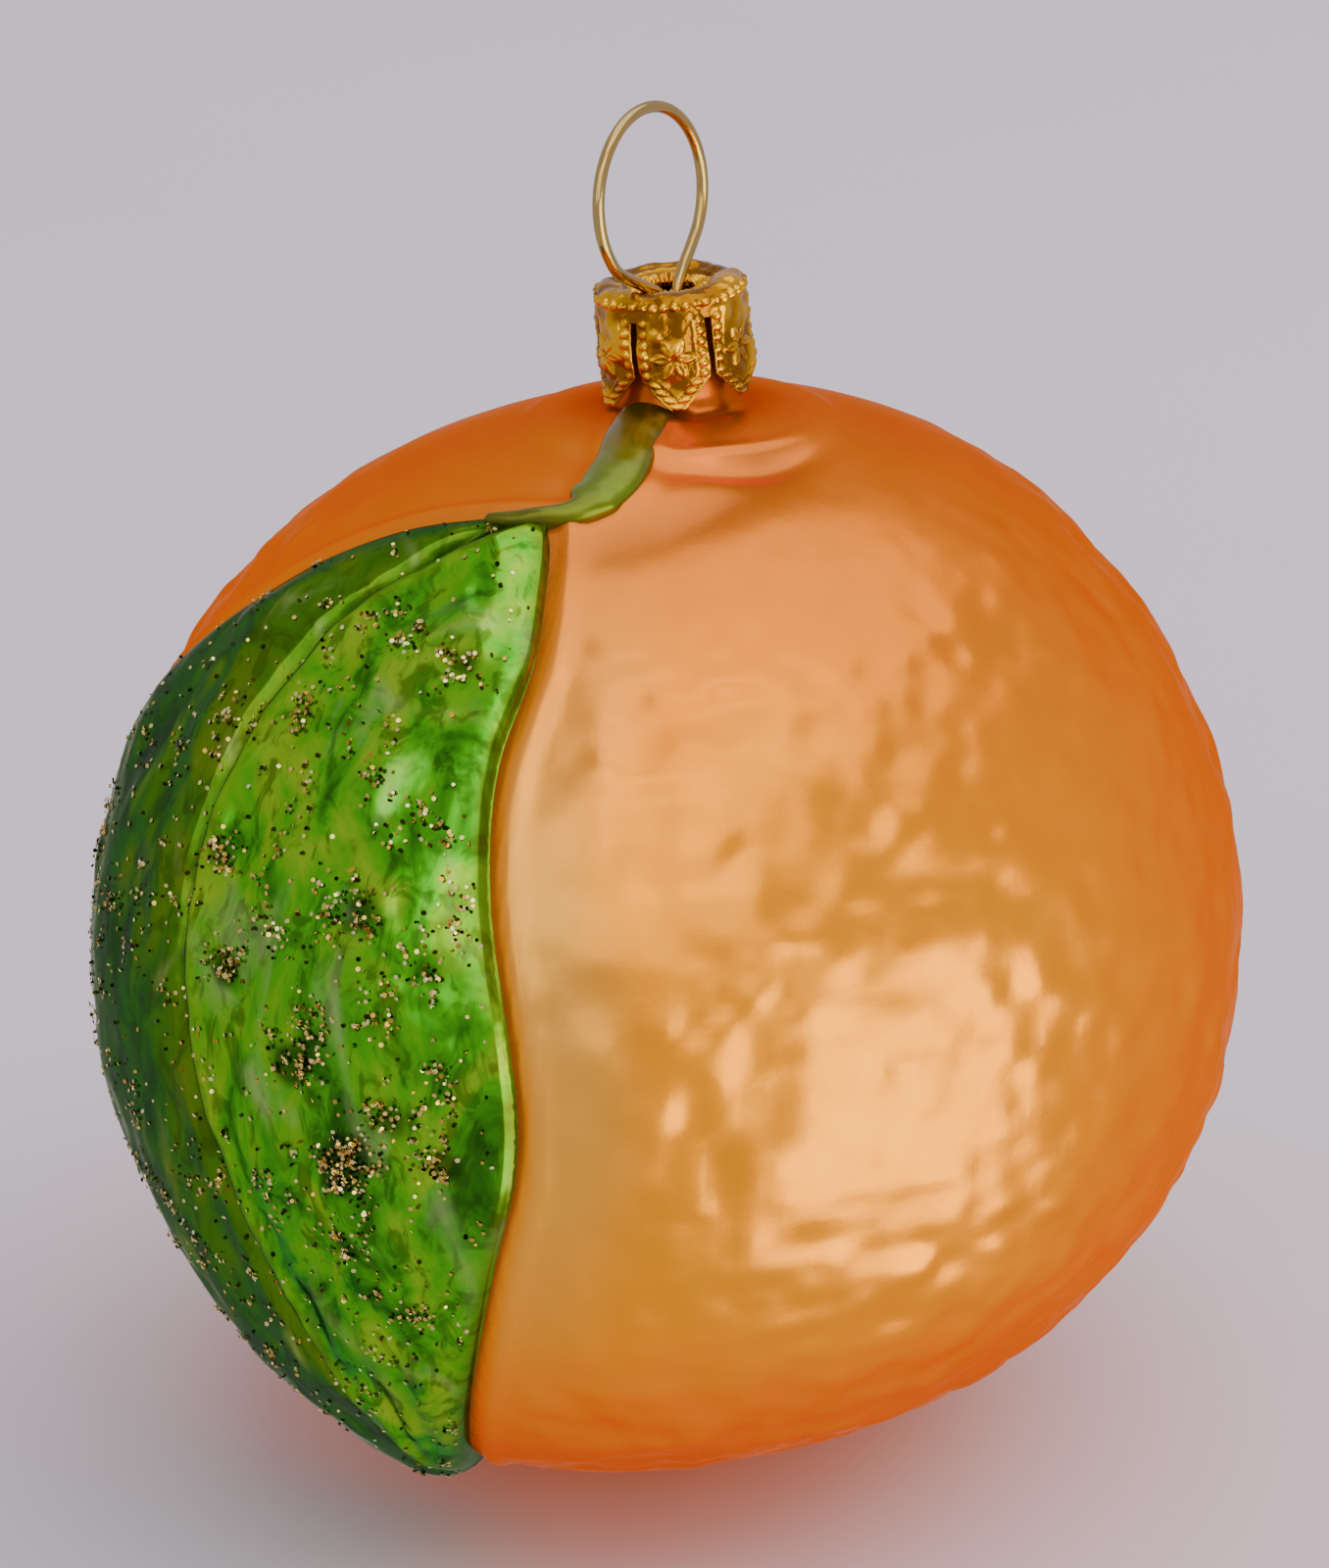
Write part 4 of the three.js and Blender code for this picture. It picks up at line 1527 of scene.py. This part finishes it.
@dataclass
class CrownCap:
    """The cap of thin embossed sheet, with six petals round the neck."""

    head: HeadPlace
    radius: float = 4.4
    foot: float = 0.6
    height: float = 6.6
    hole: float = 1.6
    petals: int = 6
    slot: float = 0.32
    band: float = 1.5
    point: float = 1.75
    tip: float = 0.9
    petal_columns: int = 46
    rows: int = 122
    sheet: float = 0.16
    side_beads: tuple[float, float, float, float] = (0.42, 0.62, 0.26, 0.15)
    shoulder_beads: tuple[float, float, float, float] = (0.62, 0.66, 0.25, 0.20)
    hole_beads: tuple[float, float, float, float] = (0.62, 0.58, 0.25, 0.12)
    """Distance from the edge, pitch, radius and height of each row of beads."""
    dents: tuple[tuple[float, float, float], ...] = (
        (0.16, 0.0, 2.1), (0.13, 20.0, 1.0), (0.05, 35.0, 0.5),
    )
    """Layers of noise: height in mm, offset and grain in mm."""
    seed: int = 7
    noise: SmoothNoise = field(default_factory=lambda: SmoothNoise(41))

    def profile(self) -> Array:
        """Return radius and height from the hole's lip to the petals' tips."""
        top = self.foot + self.height
        knots = [
            (self.hole - 0.02, top - 1.05), (self.hole + 0.08, top - 0.72), (self.hole + 0.6, top - 0.46),
            (self.radius - 1.4, top - 0.14), (self.radius - 0.95, top), (self.radius - 0.5, top - 0.12),
            (self.radius - 0.16, top - 0.42), (self.radius - 0.02, top - 1.0), (self.radius, top - 3.0),
            (self.radius, self.foot + 1.8), (self.radius - 0.02, self.foot),
        ]
        return even_steps(spline(np.array(knots), DENSE), self.rows)

    def half_width(self, height: Array) -> Array:
        """Return half a petal's width at heights: full, then pointed."""
        full = np.pi * self.radius / self.petals - self.slot / 2.0
        share = np.clip((height - self.foot) / self.point, 0.0, 1.0)
        return self.tip / 2.0 + (full - self.tip / 2.0) * share

    def emboss(self, across: Array, radius: Array, height: Array, travelled: Array) -> Array:
        """Work out the pressed pattern.

        Args:
            across: Distance from the middle of the petal, round the wall.
            radius: Distance from the cap's axis.
            height: Height above the neck's foot.
            travelled: Length down the profile from the hole.

        Returns:
            Heights in mm: round beads along both sides of each petal, round
            the shoulder and round the hole, a thin rim, and a six-petalled
            flower on each petal.
        """
        top = self.foot + self.height
        wall = smoothstep(top - height, 0.9, 1.3)
        slant = np.where(height < self.foot + self.point, 0.72, 1.0)
        inset = (self.half_width(height) - np.abs(across)) * slant
        length = (top - height) / slant
        side_beads = self.beads(inset, length, self.side_beads)
        rim = 0.05 * bell(inset - 0.08, 0.08)
        shoulder = self.beads(top - height, across, self.shoulder_beads)
        line = 0.05 * bell(inset - 0.82, 0.09)
        flower = self.flower(across, height - self.foot - 2.95)
        pattern = wall * (side_beads + rim + line * (height < top - 1.4))
        pattern += shoulder * (side_beads < 0.05 * self.side_beads[-1])
        pattern += wall * flower * (inset > 0.75)
        around = across / self.radius * radius
        pattern += self.beads(radius - self.hole, around, self.hole_beads) * (travelled < 2.2)
        ring = 0.06 * bell(radius - self.hole - 1.15, 0.12) * (travelled < 3.0)
        return pattern + ring

    @staticmethod
    def beads(inset: Array, along: Array, row: tuple[float, float, float, float]) -> Array:
        """Return the height of a row of round beads.

        Args:
            inset: Distance from the edge that the row follows.
            along: Distance along that edge.
            row: Distance from the edge, pitch, radius and height of the beads.

        Returns:
            A half ellipsoid at each bead, and 0 between them.
        """
        distance, pitch, radius, height = row
        beside = (along / pitch - np.floor(along / pitch) - 0.5) * pitch
        away = ((inset - distance) ** 2 + beside**2) / radius**2
        return height * np.sqrt(np.clip(1.0 - away, 0.0, 1.0))

    @staticmethod
    def flower(across: Array, up: Array) -> Array:
        """Return a flower of six pointed petals with a dimple in its middle.

        Args:
            across: Distance from the flower's middle, round the wall.
            up: Distance above the flower's middle.

        Returns:
            Heights: each petal is a lens along one of six directions, with a
            groove down its middle.
        """
        reach = np.hypot(across, up)
        turn = np.arctan2(up, across) + np.pi / 6.0
        sixth = np.pi / 3.0
        off = (turn / sixth - np.floor(turn / sixth) - 0.5) * sixth
        along = np.clip((reach - 0.18) / 1.15, 0.0, 1.0)
        half = 0.30 * np.sin(np.pi * along) ** 0.8
        side = np.abs(reach * np.sin(off))
        lens = smoothstep(half - side, -0.04, 0.08)
        groove = bell(side, 0.07) * smoothstep(along, 0.1, 0.3) * smoothstep(1.0 - along, 0.1, 0.3)
        return 0.11 * lens - 0.06 * groove * lens - 0.05 * bell(reach, 0.16)

    def build(self) -> bpy.types.Object:
        """Make the cap.

        Returns:
            The object: the profile carried round the neck, with each petal's
            columns drawn together towards its tip, and no faces in the cuts
            between petals.
        """
        profile = self.profile()
        radius, height = profile[:, :1], profile[:, 1:]
        steps = np.linalg.norm(np.diff(profile, axis=0), axis=1)
        travelled = np.concatenate([[0.0], np.cumsum(steps)])[:, None]
        share = np.linspace(-1.0, 1.0, self.petal_columns)[None]
        petal = np.repeat(np.arange(self.petals), self.petal_columns)[None]
        half = self.half_width(height)
        across = np.tile(half * share, (1, self.petals))
        height, radius, travelled, petal = np.broadcast_arrays(height, radius, travelled, petal)
        azimuth = across / self.radius + petal * 2.0 * np.pi / self.petals
        raised = self.emboss(across, radius, height, travelled)
        rng = np.random.default_rng(self.seed)
        flare = rng.uniform(-0.05, 0.16, self.petals)[petal]
        below = smoothstep((self.foot + self.height - self.band) - height, 0.0, 6.0)
        out = np.stack([-np.sin(azimuth), -np.cos(azimuth)], axis=-1)
        plain = np.dstack([out * radius[..., None], height])
        dents = self.noise.layers(plain, self.dents)
        slope = np.gradient(profile, axis=0)
        slope /= np.linalg.norm(slope, axis=1, keepdims=True)
        facing_out, facing_up = -slope[:, 1:], slope[:, :1]
        lift = raised + dents
        far = radius + lift * facing_out + flare * below
        points = np.dstack([out * far[..., None], height + lift * facing_up])
        rows, columns = height.shape
        quads = grid_quads(rows, columns, wrap=True)
        row_of = quads[:, 0] // columns
        column_of = quads[:, 0] % columns
        in_gap = (column_of + 1) % self.petal_columns == 0
        open_below = height[row_of, 0] < self.foot + self.height - self.band
        quads = quads[~(in_gap & open_below)]
        placed = self.head.to_frame(self.head.to_fruit(points))
        obj = make_object("crown_cap", placed.reshape(-1, 3), [quads])
        add_value(obj, "emboss", raised + 0.6 * dents)
        solid = obj.modifiers.new("sheet", "SOLIDIFY")
        solid.thickness = self.sheet * MM
        solid.offset = -1.0
        return obj


# ---- the ring ------------------------------------------------------------------------------


@dataclass
class HangerWire:
    """The ring and its two spring legs, one length of wire."""

    head: HeadPlace
    ring_from: float = 224.0
    ring_to: float = -48.0
    """Where the ring's arc starts and ends, in degrees from its right side."""
    left_leg: tuple[tuple[float, float], ...] = (
        (-5.4, -11.5), (-3.9, -7), (-2.2, -2), (-1.6, 1.5), (-0.7, 4.9), (-0.9, 6.3), (-2.4, 7.3),
    )
    right_leg: tuple[tuple[float, float], ...] = (
        (1.5, 7.3), (0.8, 6.2), (0.7, 4.9), (1.5, 1.5), (2.1, -2), (3.8, -7), (5.3, -11.5),
    )
    """Distance across and height of points on the legs, in the ring's plane."""
    rows: int = 420
    columns: int = 20

    def line(self) -> Array:
        """Return the centre line in the ring's plane, across and up."""
        turn = np.radians(np.linspace(self.ring_from, self.ring_to, 17))
        across = self.head.ring_shift + self.head.ring_radius * np.cos(turn)
        up = self.head.ring_up + self.head.ring_radius * np.sin(turn)
        knots = np.concatenate([self.left_leg, np.column_stack([across, up]), self.right_leg])
        return even_steps(spline(knots, 3 * DENSE), self.rows)

    def build(self) -> bpy.types.Object:
        """Make the wire.

        Returns:
            The object: a circle carried along the line, whose axes are the
            line's own normal in its plane and the plane's normal.  It shrinks
            along a quarter circle at both ends.
        """
        line = self.line()
        along = np.gradient(line, axis=0)
        along /= np.linalg.norm(along, axis=1, keepdims=True)
        sideways = np.stack([-along[:, 1], along[:, 0]], axis=-1)
        length = np.linalg.norm(np.diff(line, axis=0), axis=1).sum()
        place = np.linspace(0.0, length, self.rows)
        size = self.head.wire_radius * quarter_round(
            np.minimum(place, length - place) + 0.01, self.head.wire_radius)
        turn = np.linspace(0.0, 2.0 * np.pi, self.columns, endpoint=False)[None]
        offset = size[:, None] * np.cos(turn)
        out = size[:, None] * np.sin(turn)
        across = line[:, :1] + offset * sideways[:, :1]
        up = line[:, 1:] + offset * sideways[:, 1:]
        points = self.head.to_fruit(self.head.ring_to_head(across, out, up))
        ends = points[[0, -1]].mean(axis=1)
        corners = np.concatenate([points.reshape(-1, 3), ends])
        return make_object("spring_wire", self.head.to_frame(corners), closed_tube(self.rows, self.columns))


# ---- the studio ------------------------------------------------------------------------------


class Reach(Enum):
    """What a light falls on."""

    ALL = "all"
    ORNAMENT = "ornament"
    TABLE = "table"


@dataclass(frozen=True)
class Panel:
    """A soft rectangular light.

    Its direction is given as the camera sees it from the fruit: to the right,
    up, and back towards the camera.  Lengths are in metres, and the power in
    watts.
    """

    name: str
    direction: tuple[float, float, float]
    distance: float
    size: tuple[float, float]
    power: float
    colour: str
    reach: Reach


@dataclass
class Studio:
    """Floor, lights and camera.  Lengths are in metres."""

    head: HeadPlace
    elevation: float = 24.0
    distance: float = 0.26
    lens: float = 97.5
    shift: tuple[float, float] = (-0.0109, 0.0898)
    floor_size: float = 6.0
    card_size: float = 0.084
    card_drop: float = 0.0003
    """How far below the floor the shading card lies."""
    room_colour: str = "#E6DCE8"
    room_strength: float = 0.76
    # The window's mirror image is the bright patch low on the front.  The walls
    # and the upper window make the broad soft lights round it.  The lamp
    # brightens the table on the right, and the ceiling lights everything and
    # draws the soft shadow.
    panels: tuple[Panel, ...] = (
        Panel("window", (0.63, -0.54, 0.52), 0.5, (0.44, 0.46), 2.3, "#FFF4B4", Reach.ORNAMENT),
        Panel("front_wall", (-0.05, 0.15, 1.0), 0.5, (0.40, 0.36), 0.60, "#FFF6DC", Reach.ORNAMENT),
        Panel("upper_window", (0.1, 0.5, 0.85), 0.5, (0.36, 0.28), 0.3, "#FFF4D8", Reach.ORNAMENT),
        Panel("side_wall", (-0.56, 0.10, 0.82), 0.5, (0.14, 0.32), 0.19, "#FFFCE8", Reach.ORNAMENT),
        Panel("right_lamp", (1.0, 0.6, -0.1), 0.5, (0.5, 0.4), 0.8, "#FFF8EC", Reach.TABLE),
        Panel("ceiling", (0.2, 0.89, 0.36), 1.6, (2.0, 2.0), 17.6, "#F2EDFF", Reach.ALL),
    )

    def toward(self, right: float, up: float, back: float) -> Vector:
        """Turn a direction seen by the camera into one in the frame.

        Args:
            right: Part to the right of the view.
            up: Part up the view.
            back: Part towards the camera.

        Returns:
            The direction, of length 1.
        """
        angle = np.radians(self.elevation)
        axes = np.array([[1.0, 0.0, 0.0], [0.0, np.sin(angle), np.cos(angle)],
                         [0.0, -np.cos(angle), np.sin(angle)]])
        return Vector(np.array([right, up, back]) @ axes).normalized()

    def middle(self) -> Vector:
        """Return the middle of the fruit in the frame."""
        return Vector(self.head.to_frame(np.zeros(3)))

    def place(self, data: Any, direction: Vector, distance: float) -> bpy.types.Object:
        """Stand a light or the camera round the fruit, facing it.

        Args:
            data: The light or the camera.
            direction: Where it stands, seen from the fruit.
            distance: How far away, in metres.

        Returns:
            The object.
        """
        obj = bpy.data.objects.new(data.name, data)
        obj.location = self.middle() + direction * distance
        obj.rotation_euler = direction.to_track_quat("Z", "Y").to_euler()
        bpy.context.scene.collection.objects.link(obj)
        return obj

    def light(self, panel: Panel, groups: dict[Reach, bpy.types.Collection]) -> None:
        """Add one light.

        Args:
            panel: The light.
            groups: The ornament's pieces and the table, for lights that fall
                on only one of them.
        """
        data = bpy.data.lights.new(panel.name, "AREA")
        data.shape = "RECTANGLE"
        data.size, data.size_y = panel.size
        data.energy = panel.power
        data.color = linear(panel.colour)[:3]
        obj = self.place(data, self.toward(*panel.direction), panel.distance)
        obj.visible_camera = False
        if panel.reach in groups:
            obj.light_linking.receiver_collection = groups[panel.reach]
            obj.light_linking.blocker_collection = groups[Reach.ORNAMENT]

    def build(self, pieces: Sequence[bpy.types.Object]) -> None:
        """Set up everything round the ornament.

        Some lights fall on the ornament alone, and the window stands lower
        than the floor, which neither stops its light nor shows as a mirror
        image in the glass.  A card just under the floor shades the ornament's
        underside from that light.

        Args:
            pieces: The ornament's pieces.
        """
        self.world()
        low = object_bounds()[0][2]
        floor = self.slab("floor", self.floor_size, low)
        floor.data.materials.append(Tabletop().build())
        card = self.slab("shading_card", self.card_size, low - self.card_drop)
        groups = {
            Reach.ORNAMENT: self.group(Reach.ORNAMENT, [*pieces, card]),
            Reach.TABLE: self.group(Reach.TABLE, [floor]),
        }
        for panel in self.panels:
            self.light(panel, groups)

    @staticmethod
    def group(reach: Reach, members: Sequence[bpy.types.Object]) -> bpy.types.Collection:
        """Gather objects that some lights fall on."""
        group = bpy.data.collections.new(reach.value)
        for member in members:
            group.objects.link(member)
        return group

    def camera(self) -> None:
        """Add the camera, looking down at the front of the fruit."""
        data = bpy.data.cameras.new("camera")
        data.lens = self.lens
        data.shift_x, data.shift_y = self.shift
        data.clip_start = 0.01
        bpy.context.scene.camera = self.place(data, self.toward(0.0, 0.0, 1.0), self.distance)

    @staticmethod
    def slab(name: str, size: float, height: float) -> bpy.types.Object:
        """Lay a flat square under the fruit.

        Args:
            name: The square's name.
            size: The length of its sides, in metres.
            height: How high it lies.

        Returns:
            The object, unseen in mirror images and marked as not part of the
            ornament.
        """
        half = size / 2.0
        corners = np.array([[-half, -half, height], [half, -half, height],
                            [half, half, height], [-half, half, height]])
        obj = make_object(name, corners, [np.array([[0, 1, 2, 3]])])
        obj.visible_glossy = False
        obj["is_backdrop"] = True
        return obj

    def world(self) -> None:
        """Light the room evenly from all round."""
        world = bpy.data.worlds.new("room")
        world.use_nodes = True
        background = next(n for n in world.node_tree.nodes if n.type == "BACKGROUND")
        background.inputs["Color"].default_value = linear(self.room_colour)
        background.inputs["Strength"].default_value = self.room_strength
        bpy.context.scene.world = world


# ---- putting it together -----------------------------------------------------------------------


def dress(obj: bpy.types.Object, material: bpy.types.Material, node: str) -> bpy.types.Object:
    """Give a piece its finish, its body, and the part that it stands for.

    Args:
        obj: The piece.
        material: Its finish.
        node: The frame's node that it replaces.

    Returns:
        The piece.
    """
    obj.data.materials.append(material)
    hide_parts(node)
    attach(obj, "root")
    LOG.info("%s: %d faces", obj.name, len(obj.data.polygons))
    return obj


def main() -> None:
    """Build the ornament and its surroundings."""
    logging.basicConfig(level=logging.INFO, format="%(name)s: %(message)s")
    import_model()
    fruit = FruitShape()
    head = HeadPlace(fruit)
    plan = LeafPlan(fruit)
    studio = Studio(head)
    studio.camera()
    leaf = LeafCoat(fruit, head, plan)
    surface = leaf.surface()
    glitter = GlitterCoat(head)
    coat = leaf.build(surface, glitter.clump_weight(surface))
    studio.build([
        dress(Glass(fruit, head, plan).build(), OrangeLacquer().build(), "glass_body"),
        dress(coat, LeafLacquer().build(), "glass_body"),
        dress(StemCoat(fruit, head, plan).build(), StemLacquer().build(), "glass_body"),
        dress(glitter.build(surface), Glitter().build(), "glass_body"),
        dress(CrownCap(head).build(), GiltSheet().build(), "cap"),
        dress(HangerWire(head).build(), SpringWire().build(), "hanger_wire"),
    ])


if __name__ == "__main__":
    main()
